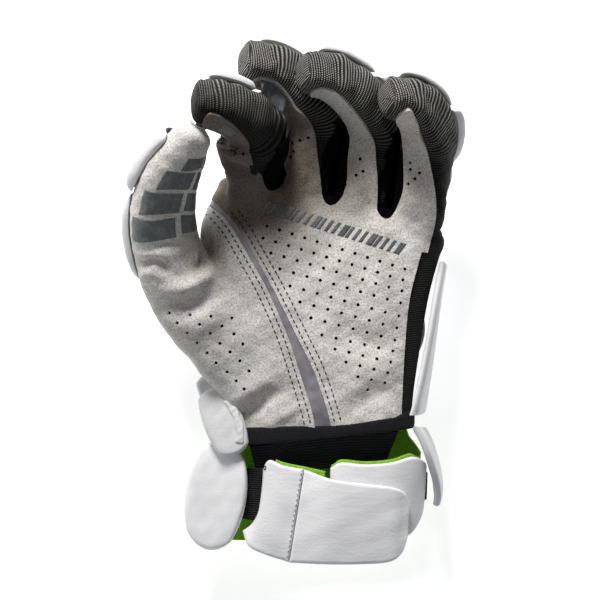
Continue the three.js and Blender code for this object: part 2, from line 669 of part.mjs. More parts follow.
addPiece("cuff_felt_back", banded(backFelt, 0, feltThick, 0, 1), finishes.felt);
addPiece("cuff_band_left", banded(leftBand, 0, bandThick), finishes.white);
addPiece("cuff_felt_left", lining(leftFelt), finishes.felt);
addPiece("cuff_band_right", banded(rightBand, 0, bandThick), finishes.white);
addPiece("cuff_felt_right", lining(rightBand.slice(0, 6)), finishes.felt);
addPiece("closure_tab", banded(closureTab, 0, bandThick), finishes.white);
addPiece("cuff_pad_outer", banded(ulnarPad, 0, sideFoam), finishes.white);
addPiece("cuff_elastic_left", banded(leftElastic, 0, elasticThick, 0, 1), finishes.black);
addPiece("cuff_elastic_right", banded(rightElastic, 0, elasticThick, 0, 1), finishes.black);
addPiece("wrist_knit", banded(wristKnit, 0, elasticThick, 0, 1), finishes.black);

const ovalPad = { x: -42.5, y: -103.5, halfX: 17, halfY: 30, turn: -10, corner: 0.9,
  z: 33.4, tiltX: 0.62, tiltY: -0.02, up: 3, down: 0.4, rim: 2.4, sharp: 1.1 };
const wristPad = { x: -38, y: -63, halfX: 11, halfY: 19, turn: 22, corner: 0.7,
  z: 39.5, tiltX: 0.45, tiltY: -0.17, up: 2.4, down: 0.2, rim: 2.2, sharp: 1.1 };
const ovalFelt = { ...ovalPad, x: -39, halfX: 13, halfY: 28.5, z: 29.7, tiltX: 0.5,
  up: 0, down: 0, rim: feltThick };
const wristFlap = { x: -44.5, y: -49, halfX: 6.5, halfY: 11, turn: 28, corner: 0.7,
  z: 30.2, tiltX: 0.3, tiltY: -0.1, up: 1, down: 0, rim: 1.8, sharp: 1.1 };
addPiece("cuff_pad_oval", pillow(ovalPad, 4, 6), finishes.white);
addPiece("cuff_felt_oval", pillow(ovalFelt, 3, 5), finishes.felt);
addPiece("wrist_flap", cutAll(pillow(wristFlap, 3, 3), [thumbClear, handClear]), finishes.white);
addPiece("wrist_pad", cutAll(pillow(wristPad, 4, 5), [thumbClear, handClear]), finishes.white);

// Puts the origin under the middle of the outline
const box = new THREE.Box3().setFromObject(group);
const middle = box.getCenter(new THREE.Vector3());
for (const node of group.children) node.geometry.translate(-middle.x, -middle.y, -box.min.z);

export default group;
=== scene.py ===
# Lacrosse glove for the left hand, lying on its back with the palm up.
# The numbers are millimetres on the part's own drawing; makeMesh puts them in the row frame.
import bmesh
import bpy
import numpy as np
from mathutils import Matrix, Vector
from mathutils.bvhtree import BVHTree


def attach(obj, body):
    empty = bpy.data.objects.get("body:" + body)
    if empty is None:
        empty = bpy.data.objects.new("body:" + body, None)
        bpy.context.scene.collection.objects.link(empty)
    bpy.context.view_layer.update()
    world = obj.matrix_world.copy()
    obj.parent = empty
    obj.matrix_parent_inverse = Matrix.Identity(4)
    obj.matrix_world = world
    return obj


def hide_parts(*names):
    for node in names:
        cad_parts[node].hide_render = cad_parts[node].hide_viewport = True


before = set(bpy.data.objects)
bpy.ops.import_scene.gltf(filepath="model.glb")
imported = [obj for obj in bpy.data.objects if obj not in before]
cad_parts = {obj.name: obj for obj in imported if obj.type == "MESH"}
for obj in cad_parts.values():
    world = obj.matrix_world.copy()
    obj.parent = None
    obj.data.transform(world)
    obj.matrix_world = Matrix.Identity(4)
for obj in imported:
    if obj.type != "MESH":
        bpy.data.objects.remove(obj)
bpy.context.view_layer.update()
middle = np.array([0.390106, 0.712372, 0.0])  # what the part takes off to centre the glove

# Camera and light


# An object with its data, put in the scene
def placed(name, data):
    made = bpy.data.objects.new(name, data)
    bpy.context.scene.collection.objects.link(made)
    return made


view = {"place": (2.81, 1.29, 950.0), "lens": 101.886, "sensor": 36.0}
camera = placed("camera", bpy.data.cameras.new("camera"))
camera.data.lens, camera.data.sensor_width = view["lens"], view["sensor"]
camera.location = np.array(view["place"]) / 1000
bpy.context.scene.camera = camera
bpy.context.scene.view_settings.view_transform = "Standard"


# A round lamp at its place, with its axis on the line to its aim
def areaLight(name, place, aim, size, watts, colour=(1, 1, 1)):
    lamp = placed(name, bpy.data.lights.new(name, "AREA"))
    lamp.data.shape, lamp.data.size = "DISK", size
    lamp.data.energy, lamp.data.color = watts, colour
    lamp.location = place
    lamp.rotation_euler = (Vector(aim) - Vector(place)).to_track_quat("-Z", "Y").to_euler()


areaLight("key", (-0.22, 0.98, 0.56), (0, 0, 0.03), 0.36, 19.0, (1.0, 0.985, 0.965))
areaLight("fill", (0.25, -0.75, 0.95), (0, -0.05, 0.03), 0.8, 1.1, (0.96, 0.98, 1.0))
areaLight("side", (-0.95, -0.35, 0.5), (0, -0.05, 0.04), 0.4, 1.4)
world = bpy.data.worlds.new("studio")
bpy.context.scene.world = world
world.use_nodes = True
sky = world.node_tree.nodes["Background"].inputs
sky["Color"].default_value, sky["Strength"].default_value = (0.92, 0.95, 1.0, 1), 0.13

# Numbers that the part is drawn with

wall = 2.0
suede = {"proud": 0.7, "thick": 1.6, "voxel": 1.0, "smoothing": 9}
fingerPower, thumbPower, bodyPower = 3.0, 2.3, 3.2
tipLength, padSeat = 6.5, 0.8

hand = [  # y lean xLow xHigh zBack zPalm
    (-70, 0.1, -27, 63, 18, 46), (-51, 0.06, -33, 64.5, 17, 47.5), (-30, 0.03, -38, 67.3, 17, 48.5),
    (2, 0, -42, 72.3, 17, 49.5), (26, -0.04, -49, 78, 17, 49.5), (36, -0.1, -49.5, 80.5, 17.5, 49),
    (44, -0.16, -45, 81, 18.5, 48.5), (50, -0.22, -40, 80, 20, 47.5),
]
# x y z of the middle line, the palm side's direction, half width and depth, the suede's two edges
digits = {
    "index": [
        (-25, 38, 34.5, 0, 0, 1, 12.6, 12, -3, 8), (-23, 58.5, 38, -0.1, -0.15, 0.98, 12.4, 12, -10.3, 6.5),
        (-20, 74, 48.5, -0.36, -0.42, 0.83, 13, 12, -10.5, 5),
        (-16.5, 90, 61.5, -0.45, -0.74, 0.5, 15.2, 12, -14.2, 0.8),
        (-28, 98.5, 72, -0.3, -0.81, 0.51, 12.2, 12, -10.5, 4),
        (-39, 102.5, 78.5, -0.15, -0.81, 0.56, 11, 11.5, -9, 5),
        (-46, 103.5, 80.5, -0.1, -0.82, 0.56, 10, 11, -8, 4.5),
    ],
    "middle": [
        (5, 38, 34.5, 0, 0, 1, 13.7, 12, -10, 10), (5.7, 61, 35.5, 0, -0.05, 1, 13.8, 12, -9.5, 9),
        (8, 80, 37.5, -0.1, -0.16, 0.98, 14, 12, -10, 6),
        (11.2, 97.5, 42.5, -0.36, -0.46, 0.81, 14.2, 12, -11, 3.5),
        (6, 112.5, 49, -0.5, -0.7, 0.5, 12, 11.5, -9, 4.5),
        (-8, 123, 57, -0.36, -0.78, 0.52, 11, 11.5, -8, 5),
        (-21.5, 126, 63.5, -0.21, -0.83, 0.52, 10, 11, -7, 5),
    ],
    "ring": [
        (34.5, 36, 34.5, 0, 0, 1, 14, 12, -9, 8.5), (35.8, 58, 35.5, 0.06, -0.05, 0.99, 14.2, 12, -9, 8),
        (38.5, 77, 37.5, -0.05, -0.16, 0.99, 14, 12, -9.5, 6),
        (42.7, 94, 43.5, -0.37, -0.48, 0.8, 14.2, 12, -10.5, 3.5),
        (36.5, 107, 55, -0.52, -0.72, 0.46, 12, 12, -9, 4.5),
        (22.5, 116.5, 66.5, -0.36, -0.78, 0.52, 11, 11.5, -8, 5),
        (9, 119, 74, -0.26, -0.82, 0.51, 10, 10.5, -7, 5),
    ],
    "little": [
        (63, 31, 33.5, 0, 0, 1, 13, 11, -10, 9), (67, 50, 37, 0, 0, 1, 13.8, 12.5, -10, 9),
        (70, 70, 42, -0.2, -0.1, 0.97, 13.8, 13, -9.5, 6.5),
        (71.5, 87, 50, -0.48, -0.21, 0.85, 13.5, 13, -9.5, 5),
        (67.5, 99, 60, -0.63, -0.37, 0.68, 12.5, 12.5, -8.5, 5),
        (59.5, 105, 68.5, -0.51, -0.55, 0.66, 11.5, 11.5, -8, 5.5),
        (52, 106, 73, -0.4, -0.62, 0.68, 10, 10.5, -7, 5.5),
    ],
    "thumb": [
        (-16, -46, 35, 0, 0, 1, 20, 12.5, -24, 24), (-37.5, -18, 37, 0, 0, 1, 21.5, 15, -25, 25),
        (-57, 6.5, 42, 0, 0, 1, 20.5, 15, -24, 24), (-67, 28.5, 49, 0.2, 0, 0.98, 17.5, 13.5, -21, 21),
        (-69, 46.5, 57, 0.29, -0.1, 0.95, 16.5, 13, -20, 20),
        (-65.5, 64.5, 66, 0.39, -0.29, 0.87, 15, 12.5, -18, 18),
        (-57.5, 79, 73, 0.47, -0.47, 0.75, 12.5, 11, -16, 16),
        (-53.5, 85.5, 76, 0.48, -0.57, 0.67, 10.5, 9.5, -14, 14),
    ],
}
fingerNames = ["index", "middle", "ring", "little"]
powers = {name: fingerPower for name in fingerNames} | {"thumb": thumbPower}
stripeEdges = [  # y xLeft xRight
    (-76, 13, 22), (-67, 11.5, 20), (-56.5, 9.5, 17.5), (-36, 3, 10.5), (-16.5, -3.5, 1), (7.5, -14, -11),
    (24.5, -23.5, -20.5), (43.5, -35, -32), (58, -49.5, -46.5),
]
hemLine = [(-60, -67.5), (-26, -67), (-2, -66), (24.5, -65.5), (48.5, -62), (70, -56)]
palmRight = [(57.5, -76), (57.5, -59), (59, -24.5), (61.5, 2), (66, 20.5), (69, 31), (71, 39)]
palmFront = [
    (71.5, 60.5), (60, 64), (57, 57), (54.2, 50), (51.5, 46.2), (48.5, 45.2), (45.5, 47.5), (43.2, 53),
    (41.5, 61),
    (34, 68), (28.5, 64), (25.8, 57.5), (23, 53.8), (19.5, 52.3), (16.6, 54), (15, 58), (13.5, 64), (3, 70),
    (-4, 68.5), (-5.6, 64.6), (-8.6, 61.2), (-12.6, 60), (-15.4, 62.6), (-17.5, 68), (-27, 71.5), (-34, 71),
    (-40, 67.5), (-45, 61),
]
thenarLeft = [(-52, 58), (-52, 20), (-90, 0), (-90, -76)]

# Forms: whole arrays of points, no loop over vertices


# Each vector over its own length
def unit(v):
    return v / np.maximum(np.linalg.norm(v, axis=-1, keepdims=True), 1e-9)


# 0 below low, 1 above high, and 3t² - 2t³ between them.
def eased(low, high, v):
    t = np.clip((v - low) / (high - low), 0, 1)
    return t * t * (3 - 2 * t)


# The Catmull-Rom curve through a table's rows, at a place counted in rows: half of 2b + (c-a)f +
# (2a-5b+4c-d)f² + (3b-a-3c+d)f³ in each column.
def alongRows(rows, place):
    rows = np.asarray(rows, float)
    last = len(rows) - 2
    i = np.clip(np.floor(place).astype(int), 0, last)
    f = (place - i)[..., None]
    b, c = rows[i], rows[i + 1]
    a = np.where((i > 0)[..., None], rows[np.maximum(i - 1, 0)], 2 * b - c)
    d = np.where((i < last)[..., None], rows[np.minimum(i + 2, last + 1)], 2 * c - b)
    return b + 0.5 * ((c - a) * f + (2 * a - 5 * b + 4 * c - d) * f**2 + (3 * b - a - 3 * c + d) * f**3)


# Sign of v times |v| to 2/power, which squares a circle into a superellipse.
def bent(v, power):
    return np.sign(v) * np.abs(v) ** (2 / power)


# The row at a place, its way forward, its palm side made square to that, and the side across.
def stations(rows, place):
    row = alongRows(rows, place)
    last = len(rows) - 1
    ahead = alongRows(rows, np.minimum(place + 0.25, last)) - alongRows(rows, np.maximum(place - 0.25, 0))
    forward = unit(ahead[..., :3])
    palm = row[..., 3:6]
    palm = unit(palm - forward * (palm * forward).sum(-1, keepdims=True))
    return row, forward, palm, np.cross(forward, palm)


# Where the curled cloth stands out, or lies flatter below 0: the place and its reach in rows, the
# height, and the side it faces
bulges = {
    "index": [(2.65, 0.75, 8.5, 2.45), (3.0, 0.7, -3.2, -0.2), (3.75, 0.5, 2.4, 0.1)],
    "middle": [(3.95, 0.8, 3.6, 1.9)],
}


# The height times exp(-((place - middle)/reach)²) times the cosine from the side it faces, above 0
def bulge(name, place, angle):
    total = 0.0 * place
    for at, reach, height, faces in bulges.get(name, []):
        turned = np.maximum(np.cos(angle - faces), 0) ** 1.3
        total = total + height * np.exp(-((place - at) / reach) ** 2) * turned
    return total


# A superellipse section of the digit at each place, turned to each angle and grown; past the last row the
# section shrinks by (1 - t^n)^(1/n) over the length of the tip.
def digitPoints(name, place, angle, grow):
    rows, power = digits[name], powers[name]
    grow = grow + bulge(name, place, angle)
    last = len(rows) - 1
    row, forward, palm, side = stations(rows, np.clip(place, 0, last))
    cap = np.clip(place - last, 0, 1)
    shrink = (1 - cap**power) ** (1 / power)
    across = bent(np.cos(angle), power) * (row[..., 6] + grow) * shrink
    up = bent(np.sin(angle), power) * (row[..., 7] + grow) * shrink
    ahead = cap * (tipLength + np.minimum(grow, 1.0))
    return row[..., :3] + side * across[..., None] + palm * up[..., None] + forward * ahead[..., None]


# Superellipse sections of the hand, leaning with x, and a front end whose sections shrink as a flat
# ellipse; along counts rows, and past the last row the front is rounded.
def handPoints(along, angle, grow, reach=0.0):
    last = len(hand) - 1
    row = alongRows(hand, np.clip(along, 0, last))
    front = np.clip(along - last, 0, 1)
    shrink = np.sqrt(np.maximum(1 - (front * 0.55) ** 2, 0)) * (1 - 0.16 * front**6)
    midX, halfX = (row[..., 3] + row[..., 2]) / 2, (row[..., 3] - row[..., 2]) / 2 + grow
    midZ, halfZ = (row[..., 5] + row[..., 4]) / 2, (row[..., 5] - row[..., 4]) / 2 + grow
    x = midX + bent(np.cos(angle), bodyPower) * halfX * shrink
    z = midZ + bent(np.sin(angle), bodyPower) * halfZ * shrink
    y = row[..., 0] + row[..., 1] * (x - 20) + front * (8 + grow) - reach * eased(0.5, 0, along)
    return np.stack([x, y, z], -1)


# Even places from first to last, then more past it that crowd towards one row on, for a rounded end
def withCap(first, last, count, capCount):
    past = last + np.sin(np.linspace(0, np.pi / 2, capCount))[1:]
    return np.concatenate([np.linspace(first, last, count), past])


# Four corners for each cell of a grid whose points are counted row by row
def gridFaces(rows, columns, start=0):
    index = np.arange(rows * columns).reshape(rows, columns) + start
    corners = [index[:-1, :-1], index[:-1, 1:], index[1:, 1:], index[1:, :-1]]
    return np.stack(corners, -1).reshape(-1, 4)


# Rings with the middle of the first and last added as poles, so that a merge closes the ends.
def capped(rings):
    poles = [np.broadcast_to(rings[i].mean(0), rings[i].shape)[None] for i in (0, -1)]
    return np.concatenate([poles[0], rings, poles[1]])


# A mesh from parts (points, faces, uv): grids of points in millimetres, put in metres in the row frame,
# doubles merged, and turned outwards by the sign of the volume.
def makeMesh(name, parts):
    points = np.concatenate([p[0].reshape(-1, 3) for p in parts])
    counts = np.cumsum([0] + [p[0].reshape(-1, 3).shape[0] for p in parts])
    faces = np.concatenate([p[1] + counts[i] for i, p in enumerate(parts)])
    a, b, c, d = (points[faces[:, k]] for k in range(4))
    volume = (a * np.cross(b, c)).sum() + (a * np.cross(c, d)).sum()
    faces = faces[:, ::-1] if volume < 0 else faces
    mesh = bpy.data.meshes.new(name)
    mesh.vertices.add(len(points))
    mesh.vertices.foreach_set("co", ((points - middle) / 1000).ravel())
    mesh.loops.add(faces.size)
    mesh.loops.foreach_set("vertex_index", faces.ravel().astype(np.int32))
    mesh.polygons.add(len(faces))
    mesh.polygons.foreach_set("loop_start", (np.arange(len(faces)) * 4).astype(np.int32))
    mesh.update(calc_edges=True)
    if parts[0][2] is not None:
        uv = np.concatenate([p[2].reshape(-1, 2) for p in parts])[faces.ravel()] / 1000
        mesh.uv_layers.new(name="UVMap").data.foreach_set("uv", uv.ravel())
    merged = bmesh.new()
    merged.from_mesh(mesh)
    bmesh.ops.remove_doubles(merged, verts=merged.verts, dist=2e-6)
    merged.to_mesh(mesh)
    merged.free()
    mesh.polygons.foreach_set("use_smooth", np.ones(len(mesh.polygons), bool))
    return mesh


def addPiece(name, parts):
    return placed(name, makeMesh(name, parts))


def grid(points, uv=None):
    return points, gridFaces(*points.shape[:2]), uv


# A top grid, the same grid below it facing down, and a band of faces that joins their outer edges
def slabPart(top, bottom, uv=None):
    rows, columns = top.shape[:2]
    under = gridFaces(rows, columns, rows * columns)[:, ::-1]
    index = np.arange(rows * columns).reshape(rows, columns)
    rim = np.concatenate([index[0, :-1], index[:-1, -1], index[-1, :0:-1], index[:0:-1, 0]])
    after, count = np.roll(rim, -1), rows * columns
    sides = np.stack([after, rim, rim + count, after + count], -1)
    return np.stack([top, bottom]), np.concatenate([gridFaces(rows, columns), under, sides]), uv


# Two grids of points and the rim that joins them, as one closed piece.
def slab(name, top, bottom, uv=None):
    return addPiece(name, [slabPart(top, bottom, None if uv is None else np.stack([uv, uv]))])


# The piece's mesh as its modifiers leave it
def settle(piece):
    shown = piece.evaluated_get(bpy.context.evaluated_depsgraph_get())
    mesh = bpy.data.meshes.new_from_object(shown)
    piece.modifiers.clear()
    old, piece.data = piece.data, mesh
    bpy.data.meshes.remove(old)
    return piece


# The piece joined with, less, or within each tool in turn
def cut(piece, operation, *tools):
    for tool in tools:
        step = piece.modifiers.new("cut", "BOOLEAN")
        step.operation, step.solver, step.object = operation, "MANIFOLD", tool
    return settle(piece)


def copied(piece, name):
    return placed(name, piece.data.copy())


def discard(*pieces):
    for piece in pieces:
        bpy.data.objects.remove(piece)


def verticesOf(piece, what="co"):
    values = np.zeros(len(piece.data.vertices) * 3)
    piece.data.vertices.foreach_get(what, values)
    return values.reshape(-1, 3)


def pointsOf(piece):
    return verticesOf(piece) * 1000 + middle


def setPoints(piece, points):
    piece.data.vertices.foreach_set("co", ((points - middle) / 1000).ravel())
    piece.data.update()


def normalsOf(piece):
    return verticesOf(piece, "normal")


# Shades as an edge whatever bends by more than this many radians
def keepEdges(piece, bend=0.9):
    piece.data.set_sharp_from_angle(angle=bend)


def treeOf(piece):
    return BVHTree.FromObject(piece, bpy.context.evaluated_depsgraph_get())


# Seeded smooth noise and folds

# The mean of count sine waves of about one wavelength, in seeded directions of space.
def waves(points, length, seed, count=7):
    draw = np.random.default_rng(seed)
    ways = unit(draw.normal(size=(count, 3))) * (2 * np.pi / length) * draw.uniform(0.7, 1.4, (count, 1))
    phases = draw.uniform(0, 2 * np.pi, count)
    return np.sin(points @ ways.T + phases).sum(-1) / np.sqrt(count)


# The sum of height times waves for each (height, length, seed)
def rippled(points, table):
    return sum(height * waves(points, length, seed) for height, length, seed in table)


# A ridge (or a valley, below 0) along a curve through the line's points: height times
# exp(-(distance/width)²), dying away at both ends.
def foldAt(xy, line, width, height, count=28):
    path = alongRows(line, np.linspace(0, len(line) - 1, count))
    away = np.linalg.norm(xy[:, None] - path[None], axis=-1)
    nearest = away.argmin(1)
    taper = np.sin(np.pi * (0.08 + 0.84 * nearest / (count - 1)))
    return height * np.exp(-((away.min(1) / width) ** 2)) * taper


# Materials

def newMaterial(name, colour, roughness, specular=0.3, sheen=0.0):
    m = bpy.data.materials.new(name)
    m.use_nodes = True
    shader = m.node_tree.nodes["Principled BSDF"]
    shader.inputs["Base Color"].default_value = (*colour, 1)
    shader.inputs["Roughness"].default_value = roughness
    shader.inputs["Specular IOR Level"].default_value = specular
    shader.inputs["Sheen Weight"].default_value = sheen
    return m, shader


def node(m, kind, inputs=None, **settings):
    made = m.node_tree.nodes.new("ShaderNode" + kind)
    for key, value in settings.items():
        setattr(made, key, value)
    for key, value in (inputs or {}).items():
        if isinstance(value, bpy.types.NodeSocket):
            m.node_tree.links.new(value, made.inputs[key])
        else:
            made.inputs[key].default_value = value
    return made


# Colours that follow each other along the factor, from (spot, colour) to (spot, colour)
def ramp(m, factor, stops):
    made = node(m, "ValToRGB", {"Fac": factor})
    while len(made.color_ramp.elements) < len(stops):
        made.color_ramp.elements.new(0.5)
    for element, (spot, colour) in zip(made.color_ramp.elements, stops):
        element.position, element.color = spot, (*colour, 1)
    return made.outputs["Color"]


def mixed(m, factor, one, two, blend="MIX"):
    made = node(m, "Mix", data_type="RGBA", blend_type=blend)
    for index, value in ((0, factor), (6, one), (7, two)):
        if isinstance(value, bpy.types.NodeSocket):
            m.node_tree.links.new(value, made.inputs[index])
        else:
            made.inputs[index].default_value = value if index == 0 else (*value, 1)
    return made.outputs[2]


# A Bump for each (height, strength, distance in metres), each over the one before
def bumped(m, shader, layers):
    last = None
    for height, strength, distance in layers:
        made = node(m, "Bump", {"Height": height, "Strength": strength, "Distance": distance})
        if last is not None:
            m.node_tree.links.new(last, made.inputs["Normal"])
        last = made.outputs["Normal"]
    m.node_tree.links.new(last, shader.inputs["Normal"])


def setBaseColour(m, shader, colour):
    m.node_tree.links.new(colour, shader.inputs["Base Color"])


def objectNoise(m, scale, detail=3.0, rough=0.55):
    place = node(m, "TexCoord").outputs["Object"]
    made = node(m, "TexNoise", {"Vector": place, "Scale": scale, "Detail": detail, "Roughness": rough})
    return made.outputs["Fac"]


# A spot that fades away: 1 at its middle, 0 at the radius, in plan; millimetres in the row frame
def spotFade(m, x, y, radius):
    place = node(m, "TexCoord").outputs["Object"]
    scale = 1000 / radius
    moved = node(m, "Mapping", {"Vector": place, "Location": (-x / radius, -y / radius, 0),
                                "Scale": (scale, scale, 0)})
    fade = node(m, "TexGradient", {"Vector": moved.outputs["Vector"]}, gradient_type="SPHERICAL")
    return fade.outputs["Fac"]


# A straight fade in plan, along x sin(turn) + y cos(turn), from 0 at low to 1 at high
def slopeFade(m, turn, low, high):
    place = node(m, "TexCoord").outputs["Object"]
    scale = 1000 / (high - low)
    moved = node(m, "Mapping", {"Vector": place, "Rotation": (0, 0, turn - np.pi / 2), "Scale": (scale,) * 3,
                                "Location": (-low / (high - low), 0, 0)})
    return node(m, "TexGradient", {"Vector": moved.outputs["Vector"]}).outputs["Fac"]


# Split suede: a fine light nap with dark roots, worn blotches, and darkening round given spots,
# which is painted shade from the curled fingers and the thumb, with some handling dirt
def suedeMaterial(name, tone, shadeAndDirt):
    m, shader = newMaterial(name, (0.6, 0.58, 0.54), 0.95, 0.12, 0.2)
    nap = objectNoise(m, 1150, 4, 0.7)
    tufts = objectNoise(m, 620, 3)
    blotch = objectNoise(m, 60, 3)
    warm = np.array([1.0, 0.975, 0.935]) * tone
    fine = ramp(m, nap, [(0.34, tuple(0.38 * warm)), (0.5, tuple(0.74 * warm)), (0.7, tuple(0.98 * warm))])
    worn = ramp(m, blotch, [(0.35, (0.88, 0.865, 0.845)), (0.65, (1.0, 1.0, 1.0))])
    colour = mixed(m, 1.0, fine, worn, "MULTIPLY")
    # painted shade with some dirt: each spot darkens the suede towards its middle
    for x, y, radius, deep in shadeAndDirt:
        shadeAndDirtSpot = ramp(m, spotFade(m, x, y, radius), [(0.05, (1, 1, 1)), (0.55, deep)])
        colour = mixed(m, 1.0, colour, shadeAndDirtSpot, "MULTIPLY")
    setBaseColour(m, shader, colour)
    bumped(m, shader, [(tufts, 0.45, 0.0006), (nap, 0.5, 0.0004)])
    return m


# Knitted net: a lattice of light loops on dark ground in the piece's own UV, in metres; shaded names a
# straight fade in plan, painted shade that darkens the loops towards the finger roots.
def meshMaterial(name, pitch, dark, light, shaded=None, gloss=0.25, turn=0.06, squeeze=1.42):
    m, shader = newMaterial(name, dark, 0.85, gloss)
    place = node(m, "TexCoord").outputs["UV"]
    turned = node(m, "Mapping", {"Vector": place, "Rotation": (0, 0, turn), "Scale": (squeeze, 1.0, 1.0)})
    cells = node(m, "TexVoronoi", {"Vector": turned.outputs["Vector"], "Scale": 1 / pitch, "Randomness": 0.0},
                 voronoi_dimensions="2D")
    loops = ramp(m, cells.outputs["Distance"], [(0.13, light), (0.3, dark)])
    blotch = objectNoise(m, 60, 2)
    colour = mixed(m, 1.0, loops, ramp(m, blotch, [(0.3, (0.7, 0.7, 0.7)), (0.7, (1, 1, 1))]), "MULTIPLY")
    if shaded is not None:
        # painted shade: the net darkens to a tenth of its colour from high down to low
        fade = ramp(m, slopeFade(m, *shaded), [(0.0, (0.1, 0.1, 0.1)), (1.0, (1, 1, 1))])
        colour = mixed(m, 1.0, colour, fade, "MULTIPLY")
    setBaseColour(m, shader, colour)
    height = ramp(m, cells.outputs["Distance"], [(0.1, (1, 1, 1)), (0.5, (0, 0, 0))])
    bumped(m, shader, [(height, 0.8, 0.0005)])
    return m


# Coated white leather: a fine pore grain, creases across it, and slow changes of tone
def leatherMaterial(name, tone, creasing):
    m, shader = newMaterial(name, (0.80, 0.805, 0.82), 0.5, 0.35)
    place = node(m, "TexCoord").outputs["Object"]
    grain = node(m, "TexVoronoi", {"Vector": place, "Scale": 950.0}, feature="F1")
    stretched = node(m, "Mapping", {"Vector": place, "Scale": (0.45, 1.5, 1.0)})
    creases = node(m, "TexNoise", {"Vector": stretched.outputs["Vector"], "Scale": 330.0, "Detail": 4.0})
    soft = objectNoise(m, 30, 2)
    cool = np.array([0.975, 0.98, 1.0]) * tone
    setBaseColour(m, shader, ramp(m, soft, [(0.3, tuple(0.77 * cool)), (0.7, tuple(0.86 * cool))]))
    bumped(m, shader, [(creases.outputs["Fac"], creasing, 0.0011), (grain.outputs["Distance"], 0.14, 0.0004)])
    return m


def feltMaterial():
    m, shader = newMaterial("green_felt", (0.26, 0.55, 0.03), 0.95, 0.1, 0.3)
    fibres = objectNoise(m, 900, 5, 0.75)
    setBaseColour(m, shader, ramp(m, fibres, [(0.3, (0.13, 0.34, 0.015)), (0.7, (0.38, 0.72, 0.06))]))
    bumped(m, shader, [(fibres, 0.8, 0.0009)])
    return m


# Ribs across the piece's own UV, broken by finer ones the other way; at scale 1 a rib takes 0.31 m.
def ribbedMaterial(name, colour, light, pitch, axis, cross):
    m, shader = newMaterial(name, colour, 0.88, 0.25)
    place = node(m, "TexCoord").outputs["UV"]
    ribs, other = (node(m, "TexWave", {"Vector": place, "Scale": 0.31 / step, "Distortion": 0.0},
                        bands_direction=way)
                   for step, way in ((pitch, axis), (cross, "Y" if axis == "X" else "X")))
    both = node(m, "Math", {0: ribs.outputs["Fac"], 1: other.outputs["Fac"]}, operation="MULTIPLY")
    setBaseColour(m, shader, ramp(m, both.outputs[0], [(0.2, colour), (0.9, light)]))
    bumped(m, shader, [(ribs.outputs["Fac"], 0.7, 0.0006), (other.outputs["Fac"], 0.4, 0.0003)])
    return m


def satinMaterial():
    m, shader = newMaterial("stripe_satin", (0.30, 0.29, 0.31), 0.5, 0.4, 0.15)
    weave = objectNoise(m, 1500, 2)
    soft = objectNoise(m, 90, 3)
    setBaseColour(m, shader, ramp(m, soft, [(0.3, (0.17, 0.165, 0.185)), (0.7, (0.29, 0.28, 0.30))]))
    bumped(m, shader, [(weave, 0.25, 0.0003), (soft, 0.2, 0.001)])
    return m


def printMaterial():
    m, shader = newMaterial("grip_print", (0.06, 0.068, 0.07), 0.42, 0.4)
    crackle = objectNoise(m, 420, 4, 0.7)
    setBaseColour(m, shader, ramp(m, crackle, [(0.3, (0.075, 0.085, 0.088)), (0.75, (0.17, 0.18, 0.185))]))
    bumped(m, shader, [(crackle, 0.5, 0.0006)])
    return m


def threadMaterial(name, colour):
    m, shader = newMaterial(name, colour, 0.7, 0.3)
    twist = objectNoise(m, 2200, 2)
    setBaseColour(m, shader, ramp(m, twist, [(0.3, tuple(0.55 * c for c in colour)), (0.7, colour)]))
    bumped(m, shader, [(twist, 0.5, 0.0002)])
    return m


finishes = {
    # The spots are painted shade at the finger roots and in the thumb's crook, with some dirt
    "suede": suedeMaterial("palm_suede", 1.0, [(-24, 72, 70, (0.21, 0.18, 0.15)),
                                               (48, 70, 38, (0.82, 0.79, 0.75))]),
    "thenar": suedeMaterial("thenar_suede", 0.86, [(-49, 27, 17, (0.66, 0.62, 0.57))]),
    # The net's fade, from y 112 down to 86, is painted shade towards the finger roots
    "net": meshMaterial("mesh_net", 0.00132, (0.009, 0.0088, 0.008), (0.86, 0.83, 0.75), (0.2, 86, 112)),
    # near-black gusset cloth: painted shade for the crotches and the gaps between the fingers
    "gusset": meshMaterial("painted_shade_gusset", 0.0009, (0.0015,) * 3, (0.007,) * 3, None, 0.06),
    "white": leatherMaterial("white_leather", 1.0, 0.15),
    "smoothWhite": leatherMaterial("smooth_white_leather", 0.99, 0.03),
    # a darker copy of the white leather, painted shade for the wrist pad and its fold
    "shadedWhite": leatherMaterial("shaded_white_leather", 0.74, 0.12),
    "felt": feltMaterial(),
    "binding": ribbedMaterial("black_binding", (0.008, 0.008, 0.010), (0.035, 0.035, 0.042), 0.0009,
                              "X", 0.0006),
    "knit": ribbedMaterial("black_knit", (0.006, 0.006, 0.008), (0.028, 0.028, 0.034), 0.0016, "Y", 0.0008),
    "elastic": ribbedMaterial("woven_elastic", (0.006, 0.006, 0.007), (0.055, 0.055, 0.06), 0.00115,
                              "Y", 0.0007),
    "satin": satinMaterial(),
    "print": printMaterial(),
    "darkThread": threadMaterial("dark_thread", (0.03, 0.028, 0.026)),
    "whiteThread": threadMaterial("white_thread", (0.75, 0.75, 0.78)),
}


# One finish all over, the body it rides on, its slot (not used), and the nodes that it stands for
def dress(piece, finish, slot, *nodes):
    piece.data.materials.clear()
    piece.data.materials.append(finishes[finish])
    piece.data.polygons.foreach_set("material_index", np.zeros(len(piece.data.polygons), np.int32))
    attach(piece, "root")
    if nodes:
        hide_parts(*nodes)
    return piece


print("materials made")

# The skin: hand, thumb and fingers in one smooth closed form


